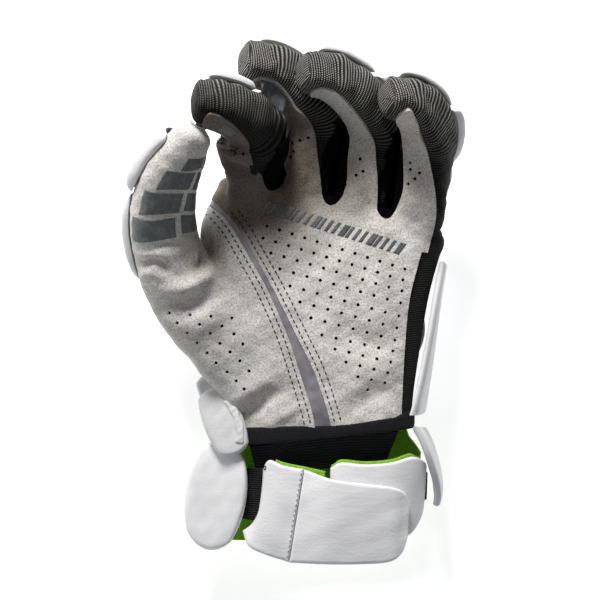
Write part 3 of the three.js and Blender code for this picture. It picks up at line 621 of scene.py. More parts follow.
# The digit's sections carried from its root to the end of its tip, closed at both
def digitSolid(name, grow, sides=64, steps=14):
    rows = len(digits[name]) - 1
    place = withCap(0.0, rows, rows * steps + 1, 10)
    angle = np.linspace(0, 2 * np.pi, sides + 1)
    return capped(digitPoints(name, *np.meshgrid(place, angle, indexing="ij"), grow))


# The hand's sections from the wrist to the rounded front, closed at both
def handTube(grow, sides=160, reach=0.0):
    along = withCap(0, len(hand) - 1, 60, 10)
    angle = np.linspace(0, 2 * np.pi, sides + 1)
    return capped(handPoints(*np.meshgrid(along, angle, indexing="ij"), grow, reach))


folds = [  # line (x, y), width, height
    ([(-46.3, 35), (-46.8, 28), (-47.2, 22), (-50.5, 17.5)], 2.3, -4.4),
    ([(-71, 9.4), (-60.3, 7.6), (-49.7, 12.4), (-41, 19)], 4.2, 3.2),
    ([(-68, -3.3), (-57, -1.4), (-47, 1.6), (-40, 5)], 4.2, -2.9),
    ([(-81, 20.5), (-72, 22.3), (-64.5, 16.8)], 2.4, -2.1),
    ([(-83, 14), (-75, 15.6), (-68, 12)], 2.8, 1.2),
    ([(-74, 28), (-65.5, 31), (-59, 29.2)], 2.0, -1.5),
    ([(-84, 26.5), (-74, 24.8), (-65, 25.5)], 2.2, 1.1),
    ([(-70, -12), (-52, -12), (-36, -4)], 6.0, 1.6),
    ([(-28.5, -63.6), (-21.1, -56.2), (-10.5, -48.5), (-2, -44)], 4.2, -2.4),
    ([(-33, -55), (-24, -46.5), (-12, -38)], 5.0, 1.8),
    ([(-16, -66), (-6, -60), (4, -54)], 3.5, 1.5),
    ([(18, -13), (36, -20), (57, -21)], 7.0, -1.4),
    ([(22, -30), (40, -34), (56, -36)], 8.0, 1.0),
    ([(-38, 75.5), (-28, 69.5), (-16, 67)], 3.0, -3.4),
    ([(-40, 62), (-30, 57), (-18, 55)], 5.5, 1.8),
    ([(-14, 52), (-8, 56), (-2, 62)], 3.0, 1.2),
    ([(37, 68), (40, 58), (42, 47)], 3.4, -1.6),
    ([(31, 64), (33, 54), (36, 44)], 3.6, 1.0),
    ([(26, -58), (40, -50), (54, -46)], 5.0, -1.3),
    ([(56, 52), (60, 46), (66, 42)], 3.2, -1.0),
]


clothWaves = [(0.35, 26, 3), (0.16, 9, 5)]  # height, length, seed


# Folds in plan on what faces up, and slow waves of cloth all over.
def wrinkle(points, normals):
    depth = rippled(points, clothWaves)
    faceUp = eased(0.15, 0.6, normals[:, 2]) * eased(84, 74, points[:, 1]) * eased(34, 40, points[:, 2])
    for line, width, height in folds:
        depth += faceUp * foldAt(points[:, :2], line, width, height)
    return depth


skin = addPiece("skin", [grid(digitSolid(name, suede["proud"])) for name in digits]
                + [grid(handTube(suede["proud"]))])
step = skin.modifiers.new("remesh", "REMESH")
step.mode, step.voxel_size, step.use_smooth_shade = "VOXEL", suede["voxel"] / 1000, True
step = skin.modifiers.new("smooth", "SMOOTH")
step.factor, step.iterations = 0.5, suede["smoothing"]
settle(skin)
skinPoints, skinNormals = pointsOf(skin), normalsOf(skin)
setPoints(skin, skinPoints + skinNormals * wrinkle(skinPoints, skinNormals)[:, None])
under = copied(skin, "under")
setPoints(under, pointsOf(skin) - normalsOf(skin) * suede["thick"])
print("skin made:", len(skin.data.polygons), "faces")

# Cutting forms of the palm side, as in the part


def curve(points, count):
    return alongRows(points, np.linspace(0, len(points) - 1, count))


# Twice the area inside an outline, above 0 where it runs anticlockwise
def signedArea(outline):
    after = np.roll(outline, -1, 0)
    return (outline[:, 0] * after[:, 1] - after[:, 0] * outline[:, 1]).sum()


# A closed outline moved outwards, each point along the mean of its two edges' normals.
def widened(outline, distance):
    ahead = np.roll(outline, -1, 0) - outline
    normal = unit(np.stack([ahead[:, 1], -ahead[:, 0]], -1))
    return outline + unit(normal + np.roll(normal, 1, 0)) * distance * np.sign(signedArea(outline))


# The outline at two heights, four-sided faces between them, and one face over each end
def prism(name, outline, low, high):
    count = len(outline)
    rings = [np.column_stack([outline, np.full(count, z)]) for z in (low, high)]
    mesh = bpy.data.meshes.new(name)
    sides = [(i, (i + 1) % count, count + (i + 1) % count, count + i) for i in range(count)]
    ends = [tuple(range(count))[::-1], tuple(range(count, 2 * count))]
    mesh.from_pydata(((np.concatenate(rings) - middle) / 1000).tolist(), [], sides + ends)
    if signedArea(outline) < 0:
        mesh.flip_normals()
    return placed(name, mesh)


# How far the index finger's suede wraps round the side that faces the thumb, by place
def wrapAt(name, place):
    return eased(1.7, 2.2, place) * eased(4.9, 4.3, place) if name == "index" else 0.0 * place


barLooks = {"above": 5.0, "lowered": 2.6, "wrapDeep": 15.0, "wrapWide": 5.0, "middleWide": 3.4,
            "nose": 0.35, "noseEnd": 0.36}


# A box section carried along a digit's palm side, from one edge of its suede to the other. Its roof
# clears the bulges, and without a reach its end is rounded by a quarter circle.
def bar(name, first, last, depth, grow, reach):
    place = np.linspace(first, last, (last - first) * 12 + 1)
    row, forward, palm, side = stations(digits[name], place)
    full = bulge(name, place, bulges[name][0][3]) if name in bulges else 0.0 * place
    floor = row[:, 7] * depth - grow
    roof = row[:, 7] + barLooks["above"] - barLooks["lowered"] * eased(2.2, 3.0, place) + full
    low, high = row[:, 8] - grow - full * eased(2.0, 2.6, place), row[:, 9] + grow
    floor = floor - barLooks["wrapDeep"] * wrapAt(name, place)
    low = low - barLooks["wrapWide"] * wrapAt(name, place)
    if name == "middle":
        low = low - barLooks["middleWide"] * eased(1.2, 1.9, place) * eased(3.4, 2.9, place)
    if reach == 0:
        round_ = np.sqrt(1 - np.clip((place - last + barLooks["nose"]) / barLooks["noseEnd"], 0, 1) ** 2)
        centre, halfWide = (low + high) / 2, (high - low) / 2 * round_
        low, high = centre - halfWide, centre + halfWide
    corners = [(high, floor), (high, roof), (low, roof), (low, floor), (high, floor)]
    rings = np.stack([row[:, :3] + side * a[:, None] + palm * b[:, None] for a, b in corners], 1)
    rings[-1] += forward[-1] * (reach + grow)
    return capped(rings)


cutFloor, cutTop = 36.0, 95.0
seamGap = 0.15  # half the gap beside the stripe
stripeLeft = curve([(row[1], row[0]) for row in stripeEdges], 60)
stripeRight = curve([(row[2], row[0]) for row in stripeEdges], 60)
right, left = np.array([seamGap, 0]), np.array([-seamGap, 0])
stripeOutline = np.concatenate([stripeLeft + right, (stripeRight - right)[::-1]])
palmOutline = np.concatenate([curve(palmRight, 40), curve(palmFront, 220), (stripeRight + right)[::-1]])
thenarOutline = np.concatenate([stripeLeft[:-6] + left, np.array(thenarLeft, float)])
hemCurve = curve(hemLine, 60)


# Rings of an ellipsoid, from pole to pole
def ballRings(centre, radii):
    tilt = np.linspace(0.05, np.pi - 0.05, 16)[:, None] + np.zeros(25)
    turn = np.linspace(0, 2 * np.pi, 25) + np.zeros((16, 1))
    way = np.stack([np.sin(tilt) * np.cos(turn), np.sin(tilt) * np.sin(turn), np.cos(tilt)], -1)
    return capped(np.array(centre) + way * np.array(radii))


indexCrook = {"centre": (-37.2, 81.6, 61.0), "radii": (9.4, 10.8, 10.4)}  # suede in the crook of the curl


# The palm's outline as a prism, with a bar for each finger and the ball in the index finger's crook
def palmCut(grow):
    tool = prism("tool", widened(palmOutline, grow), cutFloor - grow, cutTop)
    bars = [addPiece("bar", [grid(bar(name, 0, 6, 0.3, grow, 0))]) for name in fingerNames]
    bars.append(addPiece("bar", [grid(ballRings(indexCrook["centre"], np.add(indexCrook["radii"], grow)))]))
    cut(tool, "UNION", *bars)
    discard(*bars)
    return tool


# The thumb side's outline as a prism, with a bar along the thumb
def thenarCut(grow):
    tool = prism("tool", widened(thenarOutline, grow), cutFloor - grow, cutTop)
    thumbBar = addPiece("bar", [grid(bar("thumb", 1, 7, -0.35, grow, tipLength + 2))])
    cut(tool, "UNION", thumbBar)
    discard(thumbBar)
    return tool


# A band from the hem down past the end of the hand
def hemCut(grow):
    outline = np.concatenate([hemCurve + (0, grow), (hemCurve - (0, 22))[::-1]])
    return prism("tool", outline, cutFloor - 4, cutTop)


tools = {"palm": palmCut(0), "thenar": thenarCut(0), "thenarGap": thenarCut(0.3)}
tools["stripe"] = prism("tool", stripeOutline, cutFloor, cutTop)
tools["hem"] = hemCut(-1.0)

palm = copied(skin, "palm_suede")
cut(palm, "INTERSECT", tools["palm"])
cut(palm, "DIFFERENCE", under, tools["stripe"], tools["hem"], tools["thenarGap"])
thenar = copied(skin, "thenar_suede")
cut(thenar, "INTERSECT", tools["thenar"])
cut(thenar, "DIFFERENCE", under, tools["stripe"], tools["hem"])
stripe = copied(skin, "grey_stripe")
setPoints(stripe, pointsOf(skin) - normalsOf(skin) * 0.5)  # it lies half a millimetre under the suede
wideStripe = prism("tool", widened(stripeOutline, 0.6), cutFloor, cutTop)
cut(stripe, "INTERSECT", wideStripe)
cut(stripe, "DIFFERENCE", under, tools["hem"])
print("suede cut:", len(palm.data.polygons), len(thenar.data.polygons), len(stripe.data.polygons))

# Holes punched through the suede, in rows between two ends in plan

skinTree = treeOf(skin)


# Where rays meet a surface, in millimetres, with the normals there; nan where they miss.
def castOn(tree, starts, ways):
    spots, normals = np.full(starts.shape, np.nan), np.full(starts.shape, np.nan)
    for i, (start, way) in enumerate(zip((starts - middle) / 1000, ways)):  # a ray each
        spot, normal, _, _ = tree.ray_cast(Vector(start), Vector(way))
        if spot is not None:
            spots[i], normals[i] = np.array(spot) * 1000 + middle, np.array(normal)
    return spots, normals


eye = np.array([3.2, 2.0, 950.0])  # where the camera stands, on the drawing
palmHeight = 50.0


# Rays from the eye through plan points at the palm's height.
def fromAbove(tree, xy):
    through = np.column_stack([xy, np.full(len(xy), palmHeight)])
    return castOn(tree, np.broadcast_to(eye, through.shape), unit(through - eye))


# The same, without the rays that miss.
def hitsFromAbove(tree, xy):
    spots, normals = fromAbove(tree, xy)
    hit = ~np.isnan(spots[:, 0])
    return spots[hit], normals[hit]


# Evenly spaced points between the two ends of each row.
def rowsOfDots(rows):
    return np.concatenate([np.linspace(row[:2], row[2:4], row[4]) for row in rows])


# Closed round pins along the normals, from above the surface to below it.
def dots(name, spots, normals, radius, out, into, sides=10):
    side = unit(np.cross(normals, np.array([0.3, 1.0, 0.2])))
    other = np.cross(normals, side)
    turn = np.linspace(0, 2 * np.pi, sides + 1)
    ring = side[:, None] * np.cos(turn)[None, :, None] + other[:, None] * np.sin(turn)[None, :, None]
    rows = [spots[:, None] + ring * r + normals[:, None] * h
            for r, h in ((0, out), (radius, out), (radius, -into), (0, -into))]
    points = np.stack(rows, 1)
    faces = gridFaces(4, sides + 1)[None] + (np.arange(len(spots)) * 4 * (sides + 1))[:, None, None]
    return addPiece(name, [(points, faces.reshape(-1, 4), None)])


palmHoles = [  # x y of the first, x y of the last, how many
    (-14.3, 41.2, 58.9, 18.4, 12), (-16.4, 34.9, 57.8, 12.6, 12), (-12.2, 26.9, 57.3, 6.8, 11),
    (-7.4, 18.4, 56.7, 0.4, 10), (-2.1, 9.4, 55.7, -6.5, 9), (3.2, 0.9, 54.6, -12.8, 8),
    (9.0, -7.5, 53.6, -19.2, 7), (14.9, -16.6, 52.5, -25.0, 6), (21.8, -24.0, 51.4, -30.9, 5),
    (27.6, -30.9, 49.8, -36.7, 4), (33.9, -38.8, 48.2, -42.0, 3), (39.2, -45.7, 39.2, -45.7, 1),
    (-1.2, 85.2, 7.4, 87.9, 3), (-2.1, 77.8, -0.4, 81.0, 2), (35.0, 76.7, 36.6, 70.2, 2),
    (33.0, 68.2, 33.0, 68.2, 1),
    (61.5, 74.6, 66.5, 69.3, 2), (61.6, 71.2, 64.0, 66.2, 2), (60.4, 63.5, 60.4, 63.5, 1),
    (-38.0, 85.0, -30.6, 81.8, 2), (-27.0, 79.2, -27.0, 79.2, 1),
]
thenarHoles = [
    (-66.2, -4.9, -32.8, -7.5, 4), (-62.0, -10.2, -38.1, -11.8, 3), (-56.7, -15.5, -31.8, -16.0, 3),
    (-51.4, -20.8, -27.0, -21.3, 3), (-46.1, -26.1, -33.9, -25.6, 2), (-41.3, -31.4, -28.6, -30.3, 2),
    (-35.5, -36.2, -23.8, -35.6, 2), (-30.7, -40.9, -30.7, -40.9, 1), (-26.5, -45.2, -26.5, -45.2, 1),
]
punch = {"radius": 0.93, "out": 2.0, "into": 3.2}
for piece, rows in ((palm, palmHoles), (thenar, thenarHoles)):
    pins = dots("pins", *hitsFromAbove(skinTree, rowsOfDots(rows)), **punch)
    cut(piece, "DIFFERENCE", pins)
    discard(pins)
print("holes punched")

for piece in (palm, thenar, stripe):
    keepEdges(piece)
dress(palm, "suede", "suede", "palm_panel")
dress(thenar, "thenar", "suede", "thenar_panel")
dress(stripe, "satin", "stripe", "palm_stripe")

# Sleeves of net: tubes with an inner wall, open at the root


# How far round its ring each point lies, from 0 to 1 by length; a pole follows its neighbour.
def around(rings):
    steps = np.linalg.norm(np.diff(rings, axis=1), axis=-1)
    steps[-1] = steps[-2]
    length = np.concatenate([np.zeros((len(rings), 1)), np.cumsum(steps, axis=1)], 1)
    return length / length[:, -1:]


dents = {  # line (x, y), width, height, in the cloth at the tips
    "index": [([(-59, 103), (-51, 104.2), (-45.5, 107)], 2.3, -2.2),
              ([(-50, 97), (-40, 97.5), (-30, 103)], 3.0, 0.8)],
    "middle": [([(-31, 126), (-25, 129.5), (-21, 135)], 2.3, -2.2),
               ([(-24, 121), (-12, 123), (-4, 130)], 3.2, 0.8)],
    "ring": [([(6, 112), (16, 108), (28, 104)], 3.0, -1.0), ([(10, 122), (20, 124), (30, 122)], 3.5, 0.7)],
    "little": [([(47, 103), (54, 99), (60, 94)], 2.6, -1.2), ([(56, 108), (64, 104), (72, 97)], 3.2, 0.7)],
}


netLooks = {"first": 0.03, "sunk": 0.2, "underSuede": 0.6, "underThumbPad": 1.3, "flatFrom": 0.78,
            "edge": 1.5, "thumbEdge": 8.0}


# Outer points from root to tip and inner points back, joined at the root's rim; the net puckers a little
# round the section and gathers at the tip.
def sleeve(name, first, sides=88, steps=20):
    rows = len(digits[name]) - 1
    place = withCap(first, rows, int((rows - first) * steps) + 1, 14)
    angle = np.linspace(-np.pi / 2, 1.5 * np.pi, sides + 1)
    spots, turns = np.meshgrid(place, angle, indexing="ij")
    outer = digitPoints(name, spots, turns, 0.0)
    seed = sum(map(ord, name))
    radial = unit(outer - digitPoints(name, spots, turns, -4.0))
    fade = eased(rows + 1.0, rows + 0.3, spots)
    pucker = rippled(outer, [(0.45, 17, seed), (0.22, 7, seed + 1)])
    ringed = 0.35 * np.sin(9.0 * spots + 1.5 * np.sin(turns)) * eased(1.5, 3.0, spots)
    above = eased(-0.2, 0.4, radial[..., 2])
    row = alongRows(digits[name], np.clip(spots, 0, rows))
    across = bent(np.cos(turns), powers[name]) * row[..., 6]
    edge = netLooks["thumbEdge" if name == "thumb" else "edge"]
    beside = np.maximum(row[..., 8] - across, across - row[..., 9])
    hidden = eased(edge + 1.5, edge - 0.5, beside) * eased(-0.5, 0.1, np.sin(turns))
    hidden = np.maximum(hidden, wrapAt(name, spots) * eased(0.3, -0.1, np.cos(turns)))
    for line, width, height in dents.get(name, []):
        dent = foldAt(outer.reshape(-1, 3)[:, :2], line, width, height)
        ringed = ringed + dent.reshape(spots.shape) * above
    lift = (pucker + ringed) * fade - netLooks["sunk"]
    if name == "thumb":  # under the suede and the pad at the tip
        lift = lift - netLooks["underThumbPad"] * eased(5.6, 6.4, spots)
    outer = outer + radial * (lift * (1 - hidden) - netLooks["underSuede"] * hidden)[..., None]
    inner = outer - radial * wall
    inner[-1] = inner[-1].mean(0)
    outer[-1] = outer[-1].mean(0)
    strides = np.linalg.norm(np.diff(outer[:, sides // 2], axis=0), axis=1)
    arc = np.concatenate([[0], np.cumsum(strides)])
    girth = np.linalg.norm(np.diff(outer, axis=1), axis=-1).sum(1)[:, None]
    uv = np.stack([(around(outer) - 0.5) * girth, np.broadcast_to(arc[:, None], turns.shape)], -1)
    # The net over the very tip is a flat panel, so its rounds run straight across
    _, _, palmWay, side = stations(digits[name], np.full(outer.shape[:2], float(rows)))
    from_ = outer - outer[-1, 0]
    flat = np.stack([(from_ * side).sum(-1), (from_ * palmWay).sum(-1)], -1)
    uv = np.where((spots > rows + netLooks["flatFrom"])[..., None], flat, uv)
    rings = np.concatenate([inner[::-1], outer])
    return addPiece(name + "_net", [grid(rings, np.concatenate([uv[::-1], uv]))])


handHollow = addPiece("tool", [grid(handTube(-wall, 100, 14.0))])
hollows = {name: addPiece("tool", [grid(digitSolid(name, -wall, 40, 8))]) for name in digits}
underPalm, underThenar = palmCut(-2.0), thenarCut(-2.0)
handFull = addPiece("tool", [grid(handTube(-0.6, 120, 0))])
for name in digits:
    net = sleeve(name, netLooks["first"])
    cut(net, "DIFFERENCE", handFull, underThenar if name == "thumb" else underPalm)
    keepEdges(net)
    dress(net, "net", "mesh", name + "_sleeve")

# The back and sides of the hand, under the suede's edge and open where the digits start
handLooks = {"sunk": 0.15, "girth": 300.0, "shadeFrom": 46}
rowSpots, rowTurns = np.meshgrid(withCap(0, len(hand) - 1, 90, 12), np.linspace(0, 2 * np.pi, 221),
                                 indexing="ij")
shell = handPoints(rowSpots, rowTurns, -handLooks["sunk"])
inside = handPoints(rowSpots, rowTurns, -wall)
shell[-1], inside[-1] = shell[-1].mean(0), inside[-1].mean(0)
reachAlong = np.concatenate([[0], np.cumsum(np.linalg.norm(np.diff(shell.mean(1), axis=0), axis=1))])
shellUv = np.stack([around(shell) * handLooks["girth"],
                    np.broadcast_to(reachAlong[:, None], rowTurns.shape)], -1)
back = addPiece("hand_net", [grid(np.concatenate([inside[::-1], shell]),
                                  np.concatenate([shellUv[::-1], shellUv]))])
stripePlug = prism("tool", widened(stripeOutline, 1.0), cutFloor + 2, cutTop)
hemPlug = hemCut(-4.0)
cut(back, "DIFFERENCE", underPalm, underThenar, stripePlug, hemPlug, *hollows.values())
keepEdges(back)
dress(back, "net", "mesh", "hand_back")
# painted shade: the hand's front between the fingers takes the near-black gusset cloth
back.data.materials.append(finishes["gusset"])  # the front between the fingers
centres = np.zeros(len(back.data.polygons) * 3)
back.data.polygons.foreach_get("center", centres)
shadedFront = (centres.reshape(-1, 3)[:, 1] * 1000 + middle[1]) > handLooks["shadeFrom"]
back.data.polygons.foreach_set("material_index", shadedFront.astype(np.int32))
print("net sleeves made")

# Webs between the fingers: a near-black cloth from middle line to middle line, a little slack, put in
# as painted shade in the gaps between the fingers


webLooks = {"thick": 0.9, "onFinger": 0.36, "from": 1.12, "sweep": 1.52, "low": 0.4, "slack": 0.35,
            "pattern": 45}


# Down one finger's side by its section, straight across with a sag, and up the next one's: angles run
# from near the suede's edge to below the side, and the middle is a mix of both ends.
def webCloth(name, other, first, last):
    share, start, sweep, low = (webLooks[key] for key in ("onFinger", "from", "sweep", "low"))
    u, v = np.meshgrid(np.linspace(0, 1, 80), np.linspace(0, 1, 70), indexing="ij")
    place = first + (last - first) * v
    narrow = 0.6 + 0.4 * eased(1.0, 0.55, v)
    lift = 0.7 - 0.8 * eased(0.16, 0.02, u) - 0.8 * eased(0.84, 0.98, u)
    down = digitPoints(name, place, (start - sweep * u / share) * narrow, lift)
    up = digitPoints(other, place, np.pi - (start - sweep * (1 - u) / share) * narrow, lift)
    points = np.where((u < share)[..., None], down, up)
    inner = (u > share) & (u < 1 - share)
    t = eased(share, 1 - share, u)[..., None]
    ends = [digitPoints(one, place, turn, lift)
            for one, turn in ((name, -low * narrow), (other, np.pi + low * narrow))]
    across = ends[0] * (1 - t) + ends[1] * t
    points = np.where(inner[..., None], across, points)
    free = eased(0.1, 0.3, u) * eased(0.9, 0.7, u)
    points += (webLooks["slack"] * waves(points, 11, 7) * free)[..., None] * np.array([0.3, 0.3, 1.0])
    normal = unit(np.cross(np.gradient(points, axis=0), np.gradient(points, axis=1)))
    normal = normal * np.sign(normal[40, 35, 2] + 1e-9)
    return slab(f"web_{name}", points, points - normal * webLooks["thick"],
                np.stack([u, v], -1) * webLooks["pattern"])


webs = (("index", "middle", 0.75, 2.9), ("middle", "ring", 0.6, 3.1), ("ring", "little", 0.55, 3.1))
suedeEdge = palmCut(-0.1)
for name, other, first, last in webs:
    web = webCloth(name, other, first, last)
    cut(web, "DIFFERENCE", suedeEdge)
    keepEdges(web)
    # painted shade: each web is near-black cloth standing in for the shade between two fingers
    dress(web, "gusset", "mesh", "web_gusset_" + name)
discard(suedeEdge)
print("webs made")

# Padded pieces


# 1 less |2t - 1| to the fourth each way, the cube root of the product, up to 1.
def fullness(u, v, sharp):
    ends = (1 - np.abs(2 * u - 1) ** 4) * (1 - np.abs(2 * v - 1) ** 4)
    return np.minimum(1, sharp * np.cbrt(np.maximum(ends, 0)))


# How open the rim is: a quarter circle over the radius from each edge, the lesser of both.
def rolled(u, v, wide, tall, radius):
    near = np.minimum(np.minimum(u, 1 - u) * wide, np.minimum(v, 1 - v) * tall)
    t = np.clip(near / radius, 0, 1)
    return np.sqrt(np.maximum(1 - (1 - t) ** 2, 0))


# Parameters from 0 to 1, closer together at both ends.
def spaced(count):
    return 0.5 - 0.5 * np.cos(np.pi * np.linspace(0, 1, count))


# A rounded outline on a tilted plane, swelling up and down; the plane's half sizes shrink along the other
# way by the square root of 1 - corner b²/2.
def pillow(name, pad, seed, columns=46, rows=54):
    u, v = np.meshgrid(spaced(columns), spaced(rows), indexing="ij")
    a, b = 2 * u - 1, 2 * v - 1
    turn = np.radians(pad["turn"])
    across = pad["halfX"] * a * np.sqrt(1 - pad["corner"] * b**2 / 2)
    length = pad["halfY"] * b * np.sqrt(1 - pad["corner"] * a**2 / 2)
    dx = across * np.cos(turn) - length * np.sin(turn)
    dy = across * np.sin(turn) + length * np.cos(turn)
    plane = pad["z"] + pad["tiltX"] * dx + pad["tiltY"] * dy
    open_ = rolled(u, v, 2 * pad["halfX"], 2 * pad["halfY"], pad.get("roll", 2.5))
    full = fullness(u, v, pad["sharp"])
    base = np.stack([pad["x"] + dx, pad["y"] + dy, plane], -1)
    uneven = 1 + 0.05 * waves(base, 24, seed)
    top, bottom = base.copy(), base.copy()
    top[..., 2] += open_ * (pad["rim"] / 2 + pad["up"] * full * uneven)
    bottom[..., 2] -= open_ * (pad["rim"] / 2 + pad["down"] * full)
    creased = 0.12 * waves(base, 8, seed + 1) * open_ * full
    top[..., 2] += creased
    return slab(name, top, bottom, np.stack([across, length], -1))


digitFoam = {"rim": 1.2, "roll": 2.6, "patch": 30, "across": 52, "along": 44, "creased": 0.12}


# Foam that hugs the back of a digit: a patch of its section grown from the seat outwards, narrower at its
# two ends, as deep as fullness says, with a rolled rim.
def digitPad(name, digit, first, last, spread, thick, turn, seed):
    u, v = np.meshgrid(spaced(digitFoam["across"]), spaced(digitFoam["along"]), indexing="ij")
    rim, patch = digitFoam["rim"], digitFoam["patch"]
    place = first + (last - first) * v
    angle = 1.5 * np.pi - turn + (2 * u - 1) * spread * np.sqrt(1 - 0.3 * (2 * v - 1) ** 4)
    open_ = rolled(u, v, patch, patch, digitFoam["roll"])
    depth = rim + (thick - rim) * fullness(u, v, 1)
    rows, power = digits[digit], powers[digit]
    row, _, palmWay, side = stations(rows, place)

    def at(grow):
        across = bent(np.cos(angle), power) * (row[..., 6] + grow)
        up = bent(np.sin(angle), power) * (row[..., 7] + grow)
        return row[..., :3] + side * across[..., None] + palmWay * up[..., None]

    seat, outer = at(padSeat + depth * 0.5 * (1 - open_)), at(padSeat + depth * 0.5 * (1 + open_))
    outer += unit(outer - seat + 1e-6) * (digitFoam["creased"] * waves(outer, 9, seed) * open_)[..., None]
    return slab(name, outer, seat, np.stack([u, v], -1) * patch)


digitPads = [  # digit, part, first and last row, half spread, thickness, turn about the digit
    ("index", "base", 1.75, 2.5, 0.8, 5.5, 0.35), ("index", "middle", 2.6, 3.75, 0.6, 2.8, 0.6),
    ("index", "tip", 3.9, 5.75, 0.7, 4.6, 0.15), ("middle", "base", 1.3, 2.5, 0.8, 6.5, 0.35),
    ("middle", "middle", 2.6, 4.1, 0.8, 5.0, 0.35), ("middle", "tip", 4.25, 5.75, 0.7, 2.4, 0.35),
    ("ring", "base", 1.15, 2.5, 0.8, 6.5, 0.12), ("ring", "middle", 2.6, 4.15, 0.8, 6.5, 0.12),
    ("ring", "tip", 4.3, 5.75, 0.7, 3.0, 0.12), ("little", "base", 1.0, 2.1, 0.8, 6.0, 0.05),
    ("little", "middle", 2.2, 3.6, 0.8, 6.5, 0.05), ("little", "tip", 3.75, 5.5, 0.7, 2.6, 0.05),
    ("thumb", "base", 2.6, 4.4, 1.35, 5.2, 0.12), ("thumb", "tip", 4.55, 6.7, 1.45, 6.2, 0.2),
]
for i, (digit, part, first, last, spread, thick, turn) in enumerate(digitPads):
    pad = digitPad(f"{digit}_{part}_foam", digit, first, last, spread, thick, turn, 20 + i)
    dress(pad, "white", "padded_cover", f"{digit}_pad_{part}")

flatUnder = {"corner": 0.35, "tiltX": 0, "tiltY": 0, "up": 0.2, "rim": 1.6, "sharp": 1.5, "roll": 5.0}
backPads = {  # x, y, height of the plane, half width, half length, turn
    "knuckle_pad_index": (-24, 51, 19.6, 14, 9, -8), "knuckle_pad_middle": (6, 46, 18.6, 14, 9, -9),
    "knuckle_pad_ring": (36, 40, 18, 14, 9, -10), "knuckle_pad_little": (64, 34, 18, 12, 8.5, -12),
    "back_pad_index_side": (-11, 26, 15.7, 30, 12.5, -8),
    "back_pad_little_side": (48, 13, 15.7, 27, 10.5, -8),
    "back_pad_thumb_side": (-8, -4, 15.7, 30, 14, -4), "back_pad_outer_side": (47, -13.5, 15.7, 25, 12, -4),
    "back_pad_wrist": (17, -44, 15.7, 48, 14, 2),
}
for i, (name, (x, y, z, halfX, halfY, turn)) in enumerate(backPads.items()):
    form = {**flatUnder, "x": x, "y": y, "z": z, "halfX": halfX, "halfY": halfY, "turn": turn,
            "down": z - flatUnder["rim"] / 2}
    pad = pillow(name.replace("pad", "foam"), form, 60 + i)
    dress(pad, "white", "padded_cover", name)

freePads = {
    "cuff_pad_back": {**flatUnder, "x": 12, "y": -98, "halfX": 50, "halfY": 35, "turn": 0, "corner": 0.45,
                      "z": 14.7, "down": 13.9},
    "cuff_pad_oval": {"x": -42.5, "y": -103.5, "halfX": 17, "halfY": 30, "turn": -10, "corner": 0.9,
                      "z": 33.4, "tiltX": 0.62, "tiltY": -0.02, "up": 3, "down": 0.4, "rim": 2.4,
                      "sharp": 1.1},
    "wrist_pad": {"x": -38, "y": -63, "halfX": 11, "halfY": 19, "turn": 22, "corner": 0.7, "z": 39.5,
                  "tiltX": 0.45, "tiltY": -0.17, "up": 2.4, "down": 0.2, "rim": 2.2, "sharp": 1.1},
    "wrist_flap": {"x": -44.5, "y": -49, "halfX": 6.5, "halfY": 11, "turn": 28, "corner": 0.7, "z": 30.2,
                   "tiltX": 0.3, "tiltY": -0.1, "up": 1, "down": 0, "rim": 1.8, "sharp": 1.1},
}
freeTrees = {}
for i, (name, form) in enumerate(freePads.items()):
    pad = pillow(name + "_foam", form, 80 + 2 * i)
    # the wrist pad takes the darker copy of the white leather as painted shade
    finish = {"cuff_pad_oval": "smoothWhite", "wrist_pad": "shadedWhite"}.get(name, "white")
    freeTrees[name] = treeOf(pad)
    dress(pad, finish, "padded_cover", name)
ovalFelt = {**freePads["cuff_pad_oval"], "x": -39, "halfX": 13, "halfY": 28.5, "z": 29.7, "tiltX": 0.5,
            "up": 0, "down": 0, "rim": 1.6, "roll": 0.8}
dress(pillow("oval_felt", ovalFelt, 90), "felt", "felt", "cuff_felt_oval")
print("pads made")

# The cuff: plates between two edges, bowed, with rolled rims


# The surface between a table's two edge curves, raised along its middle by 4·bow·v(1 - v); a slab from
# near to far under it, whose rim is a half circle in section, with a little puff. hollow draws the first
# edge in along x by v(1 - v^5).
def plate(name, rows, near, far, shift=0.0, columns=78, tall=50, roll=1.6, puff=0.0, seed=0, uneven=0.0,
          hollow=0.0):
    spot = spaced(columns) * (len(rows) - 1)
    row = alongRows(rows, spot)
    v = spaced(tall)[None, :, None]
    top, low = row[:, None, :3], row[:, None, 3:6]
    start = shift / np.linalg.norm(top - low, axis=-1, keepdims=True)
    v = start + v * (1 - start)
    points = top * (1 - v) + low * v
    points[..., 2] += row[:, None, 6] * 4 * v[..., 0] * (1 - v[..., 0])
    u = (spot / (len(rows) - 1))[:, None]
    points[..., 0] += hollow * (1 - u) ** 2 * v[..., 0] * (1 - v[..., 0] ** 5)
    across, along = np.gradient(points, axis=0), np.gradient(points, axis=1)
    normal = unit(np.cross(along, across))
    wide = np.cumsum(np.linalg.norm(across, axis=-1), axis=0)
    long = np.cumsum(np.linalg.norm(along, axis=-1), axis=1)
    edge = np.minimum(np.minimum(wide - wide[:1], wide[-1:] - wide),
                      np.minimum(long - long[:, :1], long[:, -1:] - long))
    t = np.clip(edge / roll, 0, 1)
    open_ = np.sqrt(np.maximum(1 - (1 - t) ** 2, 0))
    mid, deep = (near + far) / 2, (far - near) / 2
    swell = puff * np.clip(edge / (4 * roll), 0, 1) ** 0.6 + uneven * waves(points, 14, seed) * open_
    outer = points - normal * (mid - deep * open_ - swell)[..., None]
    inner = points - normal * (mid + deep * open_)[..., None]
    return slab(name, outer, inner, np.stack([wide, long], -1))


